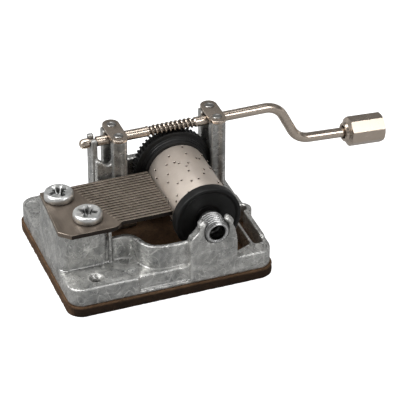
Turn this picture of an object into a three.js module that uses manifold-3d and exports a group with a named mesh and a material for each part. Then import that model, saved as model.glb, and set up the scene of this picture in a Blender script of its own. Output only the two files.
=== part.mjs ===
// Hand-cranked musical movement on a small base board.
// Millimetres. X runs along the crank shaft, Y from front to back, Z up.
// The origin is the centre of the base board's underside.
import * as THREE from 'three';
import { mergeVertices } from 'three/addons/utils/BufferGeometryUtils.js';
import Module from 'manifold-3d';

const wasm = await Module();
wasm.setup();

// ---- driving dimensions ----

const boardLength = 52;
const boardDepth = 43.4;
const boardThickness = 2.8;
const boardCorner = 3.8;
const boardMargin = 0.5;            // board edge to casting edge

const flangeTop = 7.5;              // top of the casting's low ledge
const flangeCorner = 3.5;
const rightWallTop = 7.9;
const rightWallThickness = 1.2;
const rightWallRise = [6.2, 4];     // its raised part: from the front edge, and behind the middle
const innerWallThickness = 0.8;
const pocketWidth = 2.4;            // between the two right walls
const pocketFromFront = 4.3;
const pocketBackWall = 1.2;         // pocket to the bearing posts
const pocketCorner = 0.8;
const lugInset = 0.9;               // lug centre to the right edge
const lugY = -2.3;
const lugRadius = 2.3;
const lugBore = 1.1;
const recessDepth = 0.7;            // shallow step in the front face
const recessFoot = 0.9;
const recessFromBlock = 4;
const ledgeHoleAt = [7.4, 4];       // from the left and front edges
const ledgeHoleRadius = 0.9;
const ledgeHoleSink = 0.9;

const blockTop = 17.15;             // seat of the comb
const blockWidth = 12.9;
const blockFront = -12.4;
const blockBehindComb = 0.7;
const blockDraft = 0.8;
const blockCorner = 2.4;

const sweepTop = 13.6;              // thin curved wall in front of the cylinder
const sweepThickness = 1.3;

const combThickness = 1.2;
const tineCount = 18;
const tinePitch = 1.04;
const tineGap = 0.38;
const frontTineY = -11.75;
const longRootInside = 4.1;         // root of the rear, lowest tine, inside the block
const shortRootOutside = 2.2;       // root of the front, highest tine, past the block
const combInset = 1.1;              // block to the comb's left edge
const combOverhang = 1.4;           // comb's front edge past the block
const combSlant = 0.9;              // its left edge leans out by this much at the front
const combCornerCut = 2.6;

const axisX = 10.84;                // cylinder axis, parallel to Y
const axisZ = 16.1;
const barrelRadius = 7.35;
const barrelWall = 0.65;
const barrelMargin = 0.95;          // barrel end to the front tine's middle
const barrelTail = 1.17;            // rear tine's middle to the barrel's other end
const pinHeight = 0.45;
const pinRadius = 0.2;
const flangeDiscLip = 0.95;         // black disc past the barrel
const flangeDiscThickness = 2.5;
const arborRadius = 1.5;

const wormStarts = 1;
const toothCount = 52;
const gearWidth = 3.3;
const gearToothHeight = 0.6;
const gearBehindBarrel = 1.7;
const gearOffset = 0.25;            // gear's middle in front of the shaft
const gearRim = 0.6;                // plain rim in front of the teeth
const hubLip = 0.75;                // gear hub past the barrel
const wormTurns = 10;

const shaftRadius = 1.25;
const shaftZ = 26.75;               // crank shaft axis, parallel to X
const wormTipRadius = 1.4;
const wormRootRadius = 0.85;
const meshDepth = 0.5;              // how far thread and teeth reach into each other
const shaftLeftEnd = -12.7;

const postX = [-3.6, 21.8];         // left and right bearing posts
const postPlay = 0.3;               // shaft to post
const postWidth = 3.6;
const postDepth = 2.4;
const postExtraLeft = 0.8;          // rear posts are wider to the left
const clipWidth = 4.2;
const clipThickness = 0.8;
const studRadius = 1;
const studHeadRadius = 1.35;
const studHeadHeight = 0.28;

const forkX = -9.4;                 // end-float fork at the shaft's left end
const forkThickness = 1.5;
const forkDepth = 4.2;
const neckRadius = 0.8;

const bushRadius = 3;
const bushBore = 1.95;
const bushLength = 6.1;
const bushProud = 0.5;              // bush in front of its post
const bushBoreDepth = 3.4;
const threadPitch = 0.75;
const threadDepth = 0.35;

const frontPostReach = [6.64, 5.26];  // cylinder axis to the post's left and right edges
const frontPostThickness = 2.6;

const crankStartX = 38.7;           // corner where the arm leaves the shaft line
const crankLowX = 44.3;             // corner where the arm reaches the grip line
const crankThrow = 10.9;
const crankBendRadius = 5.6;
const gripDroopDegrees = 3.6;
const gripEndX = 64;

const knobStartX = 56.8;
const knobLength = 10.3;
const knobAcrossFlats = 7.1;
const knobPlay = 0.35;              // wire to the grip's bore
const knobChamferRadius = 2.3;
const knobChamferLength = 1.3;
const knobEndBevel = 0.35;
const knobNeckLength = 2.2;
const knobEndWall = 1.2;
const gripHeadLip = 0.65;           // upset head past the wire
const gripHeadPlay = 0.4;

const combScrewHeadRadius = 3.6;
const combScrewHeadHeight = 2;
const combScrewRadius = 1.5;
const combScrewReach = 5.5;
const combScrewSlot = 0.45;         // half width of the cross recess
const combScrewSlotDepth = 1.3;

const boardScrewRadius = 1.4;
const boardScrewHeadRadius = 2.6;
const boardScrewReach = 3.6;        // thread inside the casting

const runClearance = 0.1;           // between pieces that turn on each other
const seatClearance = 0.05;         // between pieces fixed to each other
const pinClearance = 0.1;           // cylinder pins to resting tine tips
const embed = 0.5;                  // how far shapes that are joined reach into each other

// ---- derived places ----

const left = -boardLength / 2 + boardMargin;
const right = boardLength / 2 - boardMargin;
const front = -boardDepth / 2 + boardMargin;
const back = boardDepth / 2 - boardMargin;

const centreDistance = shaftZ - axisZ;
const gearTipRadius = centreDistance - wormTipRadius + meshDepth;
const gearRootRadius = gearTipRadius - gearToothHeight;
const pitchRadius = gearTipRadius - gearToothHeight / 2;
const wormPitch = 2 * Math.PI * pitchRadius / toothCount * wormStarts;
const wormStart = axisX - wormPitch * wormTurns / 2;
const wormEnd = axisX + wormPitch * wormTurns / 2;

const tineWidth = tinePitch - tineGap;
const pinCircle = barrelRadius + pinHeight + pinClearance;
const tineTipX = axisX - Math.sqrt(pinCircle ** 2 - (blockTop - axisZ) ** 2);
const tineY = (index) => frontTineY + index * tinePitch;
const rearTineEdge = tineY(tineCount - 1) + tineWidth / 2;

const barrelFront = tineY(0) - barrelMargin;
const barrelBack = tineY(tineCount - 1) + barrelTail;
const flangeDiscRadius = barrelRadius + flangeDiscLip;
const gearFront = barrelBack + gearBehindBarrel;
const gearBack = gearFront + gearWidth;
const shaftY = (gearFront + gearBack) / 2 + gearOffset;

const postGap = shaftRadius + postPlay;             // shaft axis to post face
const frontPostFace = shaftY - postGap - postDepth;
const rearPostFace = shaftY + postGap;
const studY = [shaftY - postGap - postDepth / 2, shaftY + postGap + postDepth / 2];
const clipLength = 2 * (postGap + postDepth + studHeadRadius);
const clipBottom = shaftZ + shaftRadius + runClearance;
const clipTop = clipBottom + clipThickness;
const saddleTop = shaftZ - shaftRadius - runClearance;
const rearWallTop = axisZ + arborRadius + 1;
const rearWallBack = rearPostFace + postDepth;

const frontPostLeft = axisX - frontPostReach[0];
const frontPostRight = axisX + frontPostReach[1];
const bushFront = front - bushProud;

const innerWallRight = right - rightWallThickness - pocketWidth;
const innerWallLeft = innerWallRight - innerWallThickness;
const blockLeft = left;
const blockRight = blockLeft + blockWidth;
const blockBack = rearTineEdge + blockBehindComb;

const combTop = blockTop + combThickness;
const combLeft = blockLeft + combInset;
const combFront = blockFront - combOverhang;
const longRootX = blockRight - longRootInside;
const shortRootX = blockRight + shortRootOutside;
const rootX = (index) => shortRootX + (longRootX - shortRootX) * index / (tineCount - 1);
const combScrewAt = {
  rear: [blockLeft + 4.8, blockBack - 4.4],
  front: [blockLeft + 8.6, blockFront + 4.4],
};
const boardScrewAt = {
  left: [blockLeft + 6.5, blockFront + 9.4],
  rear: [postX[0] - 5.4, back - 3],
  right: [right - 8.5, back - 3],
};

const gripHeadRadius = shaftRadius + gripHeadLip;
const knobNeckRadius = shaftRadius + knobPlay;
const knobCavityRadius = gripHeadRadius + gripHeadPlay;

// ---- helpers ----

function outline(points) {
  return new THREE.Shape(points.map(([x, y]) => new THREE.Vector2(x, y)));
}

function roundedRectangle(x0, y0, x1, y1, radius) {
  const shape = new THREE.Shape();
  shape.moveTo(x0 + radius, y0);
  shape.lineTo(x1 - radius, y0);
  shape.absarc(x1 - radius, y0 + radius, radius, -Math.PI / 2, 0);
  shape.lineTo(x1, y1 - radius);
  shape.absarc(x1 - radius, y1 - radius, radius, 0, Math.PI / 2);
  shape.lineTo(x0 + radius, y1);
  shape.absarc(x0 + radius, y1 - radius, radius, Math.PI / 2, Math.PI);
  shape.lineTo(x0, y0 + radius);
  shape.absarc(x0 + radius, y0 + radius, radius, Math.PI, Math.PI * 1.5);
  return shape;
}

function stadium(x, y0, y1, width) {
  const radius = width / 2;
  const shape = new THREE.Shape();
  shape.absarc(x, y0 + radius, radius, Math.PI, Math.PI * 2);
  shape.absarc(x, y1 - radius, radius, 0, Math.PI);
  return shape;
}

// A plan outline pulled up from bottom to top.
function slab(shape, bottom, top, curveSegments = 6) {
  const options = { depth: top - bottom, bevelEnabled: false, curveSegments };
  return new THREE.ExtrudeGeometry(shape, options).translate(0, 0, bottom);
}

// An outline drawn in X and Z, pulled from the front to the back.
function curtain(shape, y0, y1, curveSegments = 10) {
  const options = { depth: y1 - y0, bevelEnabled: false, curveSegments };
  return new THREE.ExtrudeGeometry(shape, options).rotateX(Math.PI / 2).translate(0, y1, 0);
}

function block(x0, y0, z0, x1, y1, z1) {
  const box = new THREE.BoxGeometry(x1 - x0, y1 - y0, z1 - z0);
  return box.translate((x0 + x1) / 2, (y0 + y1) / 2, (z0 + z1) / 2);
}

// A turned shape: the profile holds [radius, distance along the axis].
function turned(profile, axis = 'y', segments = 32) {
  const points = profile.map(([radius, along]) => new THREE.Vector2(radius, along));
  const geometry = new THREE.LatheGeometry(points, segments);
  if (axis === 'x') geometry.rotateZ(-Math.PI / 2);
  if (axis === 'z') geometry.rotateX(Math.PI / 2);
  return geometry;
}

function rod(axis, radius, from, to, segments = 32) {
  return turned([[0, from], [radius, from], [radius, to], [0, to]], axis, segments);
}

function upright(x, y, radius, bottom, top, segments = 24) {
  return rod('z', radius, bottom, top, segments).translate(x, y, 0);
}

// Turns a closed geometry into a solid with its faces outwards.
function solid(geometry) {
  const bare = geometry.clone();
  bare.deleteAttribute('normal');
  bare.deleteAttribute('uv');
  const merged = mergeVertices(bare, 1e-4);
  const at = merged.getAttribute('position');
  const source = merged.getIndex().array;
  const triangles = [];
  let volume = 0;
  const [a, b, c] = [new THREE.Vector3(), new THREE.Vector3(), new THREE.Vector3()];
  for (let i = 0; i < source.length; i += 3) {
    const [p, q, r] = [source[i], source[i + 1], source[i + 2]];
    if (p === q || q === r || r === p) continue;
    triangles.push(p, q, r);
    a.fromBufferAttribute(at, p);
    b.fromBufferAttribute(at, q);
    c.fromBufferAttribute(at, r);
    volume += a.dot(b.cross(c));
  }
  if (volume < 0) triangles.reverse();
  return new wasm.Manifold(new wasm.Mesh({
    numProp: 3,
    vertProperties: new Float32Array(at.array),
    triVerts: new Uint32Array(triangles),
  }));
}

function joined(...geometries) {
  return geometries.map(solid).reduce((whole, next) => whole.add(next));
}

function without(whole, ...geometries) {
  return geometries.map(solid).reduce((rest, next) => rest.subtract(next), whole);
}

function piece(name, form, colour, roughness, metalness) {
  const mesh = form.getMesh();
  const geometry = new THREE.BufferGeometry();
  geometry.setAttribute('position', new THREE.BufferAttribute(mesh.vertProperties, 3));
  geometry.setIndex(new THREE.BufferAttribute(mesh.triVerts, 1));
  geometry.computeVertexNormals();
  const material = new THREE.MeshStandardMaterial({ color: colour, roughness, metalness });
  const result = new THREE.Mesh(geometry, material);
  result.name = name;
  return result;
}

// ---- base board and its screws ----

const screwSink = 0.2;              // screw heads sit this far inside the board
const countersink = boardScrewHeadRadius - boardScrewRadius;

function boardScrewHole([x, y]) {
  const top = boardThickness + embed;
  return turned([
    [0, -embed],
    [boardScrewHeadRadius + seatClearance, -embed],
    [boardScrewHeadRadius + seatClearance, screwSink],
    [boardScrewRadius + seatClearance, screwSink + countersink],
    [boardScrewRadius + seatClearance, top],
    [0, top],
  ], 'z', 20).translate(x, y, 0);
}

function baseBoard() {
  const shape = roundedRectangle(
    -boardLength / 2, -boardDepth / 2, boardLength / 2, boardDepth / 2, boardCorner);
  const holes = Object.values(boardScrewAt).map(boardScrewHole);
  return without(joined(slab(shape, 0, boardThickness)), ...holes);
}

function boardScrew([x, y]) {
  const slot = block(-boardScrewHeadRadius, -0.4, 0, boardScrewHeadRadius, 0.4, screwSink + 0.6);
  const tip = boardThickness + boardScrewReach;
  const screw = turned([
    [0, screwSink],
    [boardScrewHeadRadius, screwSink],
    [boardScrewRadius, screwSink + countersink],
    [boardScrewRadius, tip],
    [0, tip],
  ], 'z', 20);
  return without(joined(screw), slot).translate([x, y, 0]);
}

// ---- the casting ----

// Outer face of the thin wall that sweeps from the comb block to the front bearing.
function sweepCurve() {
  const points = [
    [blockRight - embed, blockFront + 0.5],
    [blockRight + 2.9, blockFront + 0.6],
    [blockRight + 4.4, blockFront + 0.1],
    [blockRight + 5.4, blockFront - 1.3],
    [blockRight + 6.2, blockFront - 3.5],
    [blockRight + 7.7, blockFront - 5.6],
    [blockRight + 10, front + 2.2],
    [blockRight + 13.2, front + 1.8],
    [frontPostLeft + embed, front + 1.7],
  ];
  return new THREE.SplineCurve(points.map(([x, y]) => new THREE.Vector2(x, y)));
}

const sweepSteps = 28;

function sweepBand(near, far) {
  const curve = sweepCurve();
  const side = (offset) => {
    const points = [];
    for (let i = 0; i <= sweepSteps; i += 1) {
      const point = curve.getPoint(i / sweepSteps);
      const along = curve.getTangent(i / sweepSteps);
      points.push([point.x - along.y * offset, point.y + along.x * offset]);
    }
    return points;
  };
  return outline([...side(near), ...side(far).reverse()]);
}

// A rectangle with round corners as a ring of points at one height, closed by its first point.
function roundedRing(x0, y0, x1, y1, radius, z) {
  const steps = 6;
  const centres = [
    [x1 - radius, y0 + radius], [x1 - radius, y1 - radius],
    [x0 + radius, y1 - radius], [x0 + radius, y0 + radius],
  ];
  const ring = [];
  centres.forEach(([x, y], corner) => {
    for (let step = 0; step <= steps; step += 1) {
      const angle = (corner - 1 + step / steps) * Math.PI / 2;
      ring.push([x + radius * Math.cos(angle), y + radius * Math.sin(angle), z]);
    }
  });
  return [...ring, ring[0]];
}

function draftedBlock() {
  const grow = blockDraft / (blockTop - flangeTop);
  const ring = (z) => {
    const inset = Math.max(0, z - flangeTop) * grow;
    return roundedRing(
      blockLeft + inset, blockFront + inset / 4,
      blockRight - inset / 4, blockBack - inset / 4, blockCorner, z);
  };
  return loft([ring(flangeTop - 2 * embed), ring(flangeTop), ring(blockTop)]);
}

// Joins closed rings of equal point count, with flat ends.
function loft(rings) {
  const open = rings.map((ring) => ring.slice(0, -1));
  const count = open[0].length;
  const positions = open.flat(2);
  const index = [];
  for (let level = 0; level + 1 < open.length; level += 1) {
    for (let i = 0; i < count; i += 1) {
      const next = (i + 1) % count;
      const a = level * count + i;
      const b = level * count + next;
      index.push(a, b, b + count, a, b + count, a + count);
    }
  }
  const last = (open.length - 1) * count;
  for (let i = 1; i + 1 < count; i += 1) {
    index.push(0, i + 1, i);
    index.push(last, last + i, last + i + 1);
  }
  const geometry = new THREE.BufferGeometry();
  geometry.setAttribute('position', new THREE.Float32BufferAttribute(positions, 3));
  geometry.setIndex(index);
  return geometry;
}

function flangeShape() {
  return roundedRectangle(left, front, right, back, flangeCorner);
}

// Opening in the middle of the casting, under the comb and the cylinder.
function windowShape() {
  const curve = sweepCurve();
  const edge = [];
  for (let i = 2; i <= sweepSteps; i += 1) {
    const point = curve.getPoint(i / sweepSteps);
    const along = curve.getTangent(i / sweepSteps);
    edge.push([point.x - along.y * sweepThickness, point.y + along.x * sweepThickness]);
  }
  const postBack = front + frontPostThickness;
  const postFoot = frontPostFace - embed;
  return outline([
    ...edge,
    [frontPostLeft + embed, postBack],
    [frontPostRight, postBack],
    [innerWallLeft, postBack + 2.2],
    [innerWallLeft, gearBack + 0.4],
    [axisX - gearTipRadius - 1, gearBack + 0.4],
    [axisX - gearTipRadius - 1, postFoot],
    [blockRight + 0.4, postFoot],
    [blockRight + 0.4, blockFront + 2.4],
  ]);
}

function rightWall() {
  const lugX = right - lugInset;
  const [riseFromFront, riseBack] = rightWallRise;
  return {
    add: [
      block(right - rightWallThickness, front + riseFromFront, flangeTop - embed,
        right, riseBack, rightWallTop),
      upright(lugX, lugY, lugRadius, boardThickness, rightWallTop, 20),
    ],
    cut: [
      upright(lugX, lugY, lugBore, boardThickness - 1, rightWallTop + 1, 16),
      slab(roundedRectangle(
        innerWallRight, front + pocketFromFront,
        right - rightWallThickness, frontPostFace - pocketBackWall, pocketCorner),
      boardThickness - 1, flangeTop + 1, 3),
    ],
  };
}

function frontPost() {
  const shape = outline([
    [frontPostLeft, boardThickness + embed],
    [frontPostRight, boardThickness + embed],
    [frontPostRight - 0.1, axisZ - 2.4],
    [axisX + 4.6, axisZ + 0.2],
    [axisX + 3.6, axisZ + 2.3],
    [axisX + 2.4, axisZ + 2.6],
    [axisX - 2.4, axisZ + 2.6],
    [axisX - 3.7, axisZ + 2.3],
    [axisX - 4.6, axisZ + 0.6],
    [frontPostLeft + 0.4, axisZ - 0.9],
    [frontPostLeft, axisZ - 1.9],
  ]);
  return curtain(shape, front, front + frontPostThickness);
}

function bushSeat() {
  const radius = bushRadius + seatClearance;
  const seat = new THREE.Shape();
  seat.absarc(axisX, axisZ, radius, Math.PI, Math.PI * 2);
  seat.lineTo(axisX + radius, axisZ + 6);
  seat.lineTo(axisX - radius, axisZ + 6);
  return curtain(seat, front - 1, front + frontPostThickness + 1, 14);
}

// A front and a rear post, the saddle between them and the studs on top.
function bearingPosts(x) {
  const half = postWidth / 2;
  const foot = boardThickness + embed;
  const parts = [
    block(x - half, frontPostFace, foot, x + half, frontPostFace + postDepth, clipBottom),
    block(x - half - postExtraLeft, rearPostFace, foot, x + half, rearWallBack, clipBottom),
    block(x, frontPostFace + embed, foot, x + half, rearWallBack - embed, saddleTop),
  ];
  for (const y of studY) {
    const profile = [
      [0, clipBottom - embed],
      [studRadius, clipBottom - embed],
      [studRadius, clipTop + 0.02],
      [studHeadRadius, clipTop + 0.02],
      [studHeadRadius - 0.2, clipTop + studHeadHeight],
      [0, clipTop + studHeadHeight],
    ];
    parts.push(turned(profile, 'z', 20).translate(x, y, 0));
  }
  return parts;
}

// The slotted end plate and the notched web that ties it to the left posts.
function endFork() {
  const foot = boardThickness + embed;
  const webRight = postX[0] - postWidth / 2 + embed;
  const web = outline([
    [forkX, foot],
    [webRight, foot],
    [webRight, shaftZ - 4.6],
    [postX[0] - postWidth / 2 - 1, shaftZ - 5.8],
    [forkX + forkThickness / 2, shaftZ - 3.9],
    [forkX, shaftZ - 3.9],
  ]);
  return [
    block(forkX - forkThickness / 2, shaftY - forkDepth / 2, foot,
      forkX + forkThickness / 2, shaftY + forkDepth / 2, shaftZ + 1.5),
    curtain(web, frontPostFace + 0.8, frontPostFace + postDepth),
  ];
}

function forkSlot() {
  const half = neckRadius + runClearance;
  return joined(
    rod('x', half, forkX - forkThickness, forkX + forkThickness, 24).translate(0, shaftY, shaftZ),
    block(forkX - forkThickness, shaftY - half, shaftZ,
      forkX + forkThickness, shaftY + half, shaftZ + 3));
}

function rearWall() {
  const x0 = postX[0] - postWidth / 2 + embed;
  const x1 = postX[1] + postWidth / 2 - embed;
  const bossRadius = arborRadius + 2;
  return [
    block(x0, rearPostFace + 0.3, boardThickness + embed, x1, rearWallBack, rearWallTop),
    rod('y', bossRadius, rearWallBack - embed, rearWallBack + 1.4, 24).translate(axisX, 0, axisZ),
  ];
}

function ledgeHole() {
  const mouth = ledgeHoleRadius + ledgeHoleSink;
  const profile = [
    [0, boardThickness - 1],
    [ledgeHoleRadius, boardThickness - 1],
    [ledgeHoleRadius, flangeTop - ledgeHoleSink],
    [mouth, flangeTop],
    [mouth, flangeTop + 1],
    [0, flangeTop + 1],
  ];
  const [fromLeft, fromFront] = ledgeHoleAt;
  return turned(profile, 'z', 20).translate(left + fromLeft, front + fromFront, 0);
}

function bedplate() {
  const wall = rightWall();
  let casting = joined(slab(flangeShape(), boardThickness, flangeTop));
  casting = without(casting, slab(windowShape(), boardThickness - 1, flangeTop + 1));
  casting = casting.add(joined(
    draftedBlock(),
    slab(sweepBand(0, sweepThickness), flangeTop - 2 * embed, sweepTop),
    frontPost(),
    ...bearingPosts(postX[0]),
    ...bearingPosts(postX[1]),
    ...endFork(),
    ...rearWall(),
    ...wall.add,
  ));
  const recess = block(blockRight + recessFromBlock, front - 1, boardThickness + recessFoot,
    frontPostLeft, front + recessDepth, flangeTop + 1);
  const gearRoom = rod('y', gearTipRadius + 0.4, gearFront - 0.4, gearBack + 0.4, 48)
    .translate(axisX, 0, axisZ);
  const arborBore = rod('y', arborRadius + runClearance, rearPostFace - 1, rearWallBack + 3, 32)
    .translate(axisX, 0, axisZ);
  const combScrewBores = Object.values(combScrewAt).map(([x, y]) =>
    upright(x, y, combScrewRadius + seatClearance, blockTop - combScrewReach - 0.6, blockTop + 1));
  const boardScrewBores = Object.values(boardScrewAt).map(([x, y]) =>
    upright(x, y, boardScrewRadius + seatClearance,
      boardThickness - 1, boardThickness + boardScrewReach + 0.3, 20));
  return without(casting, recess, bushSeat(), gearRoom, arborBore, ledgeHole(),
    ...wall.cut, ...combScrewBores, ...boardScrewBores).subtract(forkSlot());
}

// ---- comb, its screws, weights and dampers ----

function combShape() {
  const shape = new THREE.Shape();
  shape.moveTo(combLeft, rearTineEdge);
  shape.lineTo(combLeft - combSlant, combFront + combCornerCut);
  shape.lineTo(combLeft - combSlant + combCornerCut, combFront);
  shape.lineTo(blockRight - 0.6, combFront);
  shape.quadraticCurveTo(blockRight + 1.6, combFront, blockRight + 2.4, tineY(0) - 0.9);
  const firstEdge = tineY(0) - tineWidth / 2;
  shape.quadraticCurveTo(shortRootX + 0.6, firstEdge, shortRootX + 2.2, firstEdge);
  for (let i = 0; i < tineCount; i += 1) {
    const near = tineY(i) - tineWidth / 2;
    const far = near + tineWidth;
    if (i > 0) shape.lineTo(rootX(i), near);
    shape.lineTo(tineTipX, near);
    shape.lineTo(tineTipX, far);
    if (i < tineCount - 1) shape.lineTo(rootX(i), far);
  }
  return shape;
}

function comb() {
  const holes = Object.values(combScrewAt).map(([x, y]) =>
    upright(x, y, combScrewRadius + 0.2, blockTop - 1, combTop + 1));
  return without(joined(slab(combShape(), blockTop, combTop, 4)), ...holes);
}

function combScrew([x, y]) {
  const top = combTop + combScrewHeadHeight;
  const reach = combScrewHeadRadius * 0.55;
  const profile = [
    [0, blockTop - combScrewReach],
    [combScrewRadius, blockTop - combScrewReach],
    [combScrewRadius, combTop],
    [combScrewHeadRadius, combTop],
    [combScrewHeadRadius, combTop + combScrewHeadHeight * 0.45],
    [combScrewHeadRadius * 0.88, combTop + combScrewHeadHeight * 0.8],
    [combScrewHeadRadius * 0.55, top],
    [0, top],
  ];
  const floor = top - combScrewSlotDepth;
  const arm = block(-reach, -combScrewSlot, floor, reach, combScrewSlot, top + 1);
  const crossArm = block(-combScrewSlot, -reach, floor, combScrewSlot, reach, top + 1);
  return without(joined(turned(profile, 'z', 28)), arm, crossArm)
    .rotate([0, 0, 25]).translate([x, y, 0]);
}

const weightedTines = 7;            // the lowest notes, at the rear of the comb
const dampedTines = 6;

function tineWeight(index) {
  const y = tineY(index);
  const half = tineWidth / 2;
  const depth = 1 + 0.14 * (index - (tineCount - weightedTines));
  const weightRight = tineTipX - 1.4;
  const top = blockTop - seatClearance;
  return joined(block(weightRight - 4.2, y - half, top - depth, weightRight, y + half, top));
}

function damperWire(index) {
  const y = tineY(index);
  const wire = 0.16;
  const path = new THREE.CatmullRomCurve3([
    new THREE.Vector3(tineTipX - 1.3, y, blockTop - 0.3),
    new THREE.Vector3(tineTipX - 0.9, y, blockTop - 0.9),
    new THREE.Vector3(tineTipX - 0.5, y, blockTop - 1.5),
    new THREE.Vector3(tineTipX - 0.55, y, blockTop - 2.1),
  ]);
  const section = new THREE.Shape().absarc(0, 0, wire, 0, Math.PI * 2);
  const options = { steps: 8, curveSegments: 4, bevelEnabled: false, extrudePath: path };
  return joined(new THREE.ExtrudeGeometry(section, options));
}

// ---- cylinder, built round its own axis ----

function barrel() {
  const inner = barrelRadius - barrelWall;
  const tube = turned([
    [inner, barrelFront], [barrelRadius, barrelFront],
    [barrelRadius, barrelBack], [inner, barrelBack], [inner, barrelFront],
  ], 'y', 56);
  return joined(tube, ...cylinderPins());
}

// One pin for each note of the tune: tine index and place round the cylinder.
function cylinderPins() {
  const beats = 36;
  const pins = [];
  for (let beat = 0; beat < beats; beat += 1) {
    const melody = (beat * 5 + Math.floor(beat / 4) * 3) % tineCount;
    const bass = (melody + 7 + (beat % 3)) % tineCount;
    const notes = beat % 3 === 0 ? [melody, bass] : [melody];
    for (const note of notes) {
      const pin = rod('x', pinRadius, barrelRadius - 0.3, barrelRadius + pinHeight, 6);
      pin.translate(0, tineY(note), 0);
      pin.rotateY(beat / beats * Math.PI * 2);
      pins.push(pin);
    }
  }
  return pins;
}

const spigotLength = 2;
const spigotRadius = barrelRadius - barrelWall - seatClearance * 2;
const arborHole = arborRadius + seatClearance;

function frontFlange() {
  const y1 = barrelFront - seatClearance;
  const y0 = y1 - flangeDiscThickness;
  return joined(turned([
    [arborHole, y0 + 0.5],
    [flangeDiscRadius - 1.1, y0 + 0.5],
    [flangeDiscRadius - 0.8, y0],
    [flangeDiscRadius, y0],
    [flangeDiscRadius, y1],
    [spigotRadius, y1],
    [spigotRadius, y1 + spigotLength],
    [arborHole, y1 + spigotLength],
    [arborHole, y0 + 0.5],
  ], 'y', 56));
}

// Straight teeth with a space under each crest of the worm.
function wormGear() {
  const toothAngle = Math.PI * 2 / toothCount;
  const crestBelow = wormStart + wormPitch * 0.75;
  const phase = (crestBelow - axisX) / wormPitch * toothAngle;
  const corners = [
    [-0.5, gearRootRadius], [-0.32, gearRootRadius],
    [-0.18, gearTipRadius], [0.18, gearTipRadius], [0.32, gearRootRadius],
  ];
  const points = [];
  for (let tooth = 0; tooth < toothCount; tooth += 1) {
    for (const [share, radius] of corners) {
      const angle = phase + (tooth + 0.5 + share) * toothAngle;
      points.push([radius * Math.sin(angle), radius * Math.cos(angle)]);
    }
  }
  const shoulder = barrelBack + seatClearance;
  const ridge = gearRootRadius - 0.5;
  const throat = shaftY - wormTipRadius / 2;
  const hub = turned([
    [0, shoulder - spigotLength],
    [spigotRadius, shoulder - spigotLength],
    [spigotRadius, shoulder],
    [barrelRadius + hubLip, shoulder],
    [barrelRadius + hubLip, gearFront - 0.5],
    [ridge - 0.5, gearFront - 0.5],
    [ridge, gearFront - 0.2],
    [ridge, gearFront],
    [gearTipRadius, gearFront],
    [gearTipRadius, gearFront + gearRim],
    [gearRootRadius, throat],
    [0, throat],
  ], 'y', 104);
  const whole = joined(curtain(outline(points), gearFront, gearBack), hub);
  return without(whole, rod('y', arborHole, barrelFront, gearBack + 1, 32));
}

function arbor() {
  const y0 = bushFront + bushBoreDepth + 0.8;
  return joined(rod('y', arborRadius, y0, rearWallBack + 2, 32));
}

// ---- front bush, threaded outside ----

function frontBush() {
  const shoulder = bushFront + bushBoreDepth;
  const profile = [[arborRadius + runClearance, shoulder + 0.2], [bushBore, shoulder]];
  profile.push([bushBore, bushFront + 0.3], [bushBore + 0.3, bushFront]);
  profile.push([bushRadius - threadDepth, bushFront]);
  const bushBack = bushFront + bushLength;
  const turns = Math.floor((bushLength - 0.6) / threadPitch);
  for (let turn = 0; turn < turns; turn += 1) {
    const y = bushFront + 0.3 + turn * threadPitch;
    profile.push([bushRadius, y + threadPitch * 0.3], [bushRadius, y + threadPitch * 0.55]);
    profile.push([bushRadius - threadDepth, y + threadPitch * 0.85]);
  }
  profile.push([bushRadius - threadDepth, bushBack]);
  profile.push([arborRadius + runClearance, bushBack]);
  profile.push(profile[0]);
  return joined(turned(profile, 'y', 24));
}

// ---- crank, built round the shaft axis ----

// One thread ridge wound right-handed along the shaft.
function wormThread() {
  const stepsPerTurn = 12;
  const steps = wormTurns * stepsPerTurn;
  const inner = wormRootRadius - 0.12;
  const section = [[-0.33, inner], [-0.12, wormTipRadius], [0.12, wormTipRadius], [0.33, inner]];
  const positions = [];
  for (let step = 0; step <= steps; step += 1) {
    const angle = step / stepsPerTurn * Math.PI * 2;
    const x = wormStart + step / stepsPerTurn * wormPitch;
    for (const [offset, radius] of section) {
      positions.push(x + offset, radius * Math.cos(angle), radius * Math.sin(angle));
    }
  }
  const index = [];
  const count = section.length;
  for (let step = 0; step < steps; step += 1) {
    for (let i = 0; i < count; i += 1) {
      const a = step * count + i;
      const b = step * count + (i + 1) % count;
      index.push(a, b, b + count, a, b + count, a + count);
    }
  }
  const last = steps * count;
  index.push(0, 2, 1, 0, 3, 2);
  index.push(last, last + 1, last + 2, last, last + 2, last + 3);
  const geometry = new THREE.BufferGeometry();
  geometry.setAttribute('position', new THREE.Float32BufferAttribute(positions, 3));
  geometry.setIndex(index);
  return geometry;
}

function straightShaft(end) {
  const neckLeft = forkX - forkThickness / 2 - runClearance;
  const neckRight = forkX + forkThickness / 2 + runClearance;
  return turned([
    [0, shaftLeftEnd],
    [0.6, shaftLeftEnd + 0.12],
    [1.05, shaftLeftEnd + 0.5],
    [shaftRadius, shaftLeftEnd + 1.1],
    [shaftRadius, neckLeft - 0.2],
    [neckRadius, neckLeft],
    [neckRadius, neckRight],
    [shaftRadius, neckRight + 0.2],
    [shaftRadius, wormStart - 0.4],
    [wormRootRadius, wormStart - 0.1],
    [wormRootRadius, wormEnd + 0.1],
    [shaftRadius, wormEnd + 0.5],
    [shaftRadius, end],
    [0, end],
  ], 'x', 16);
}

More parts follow.
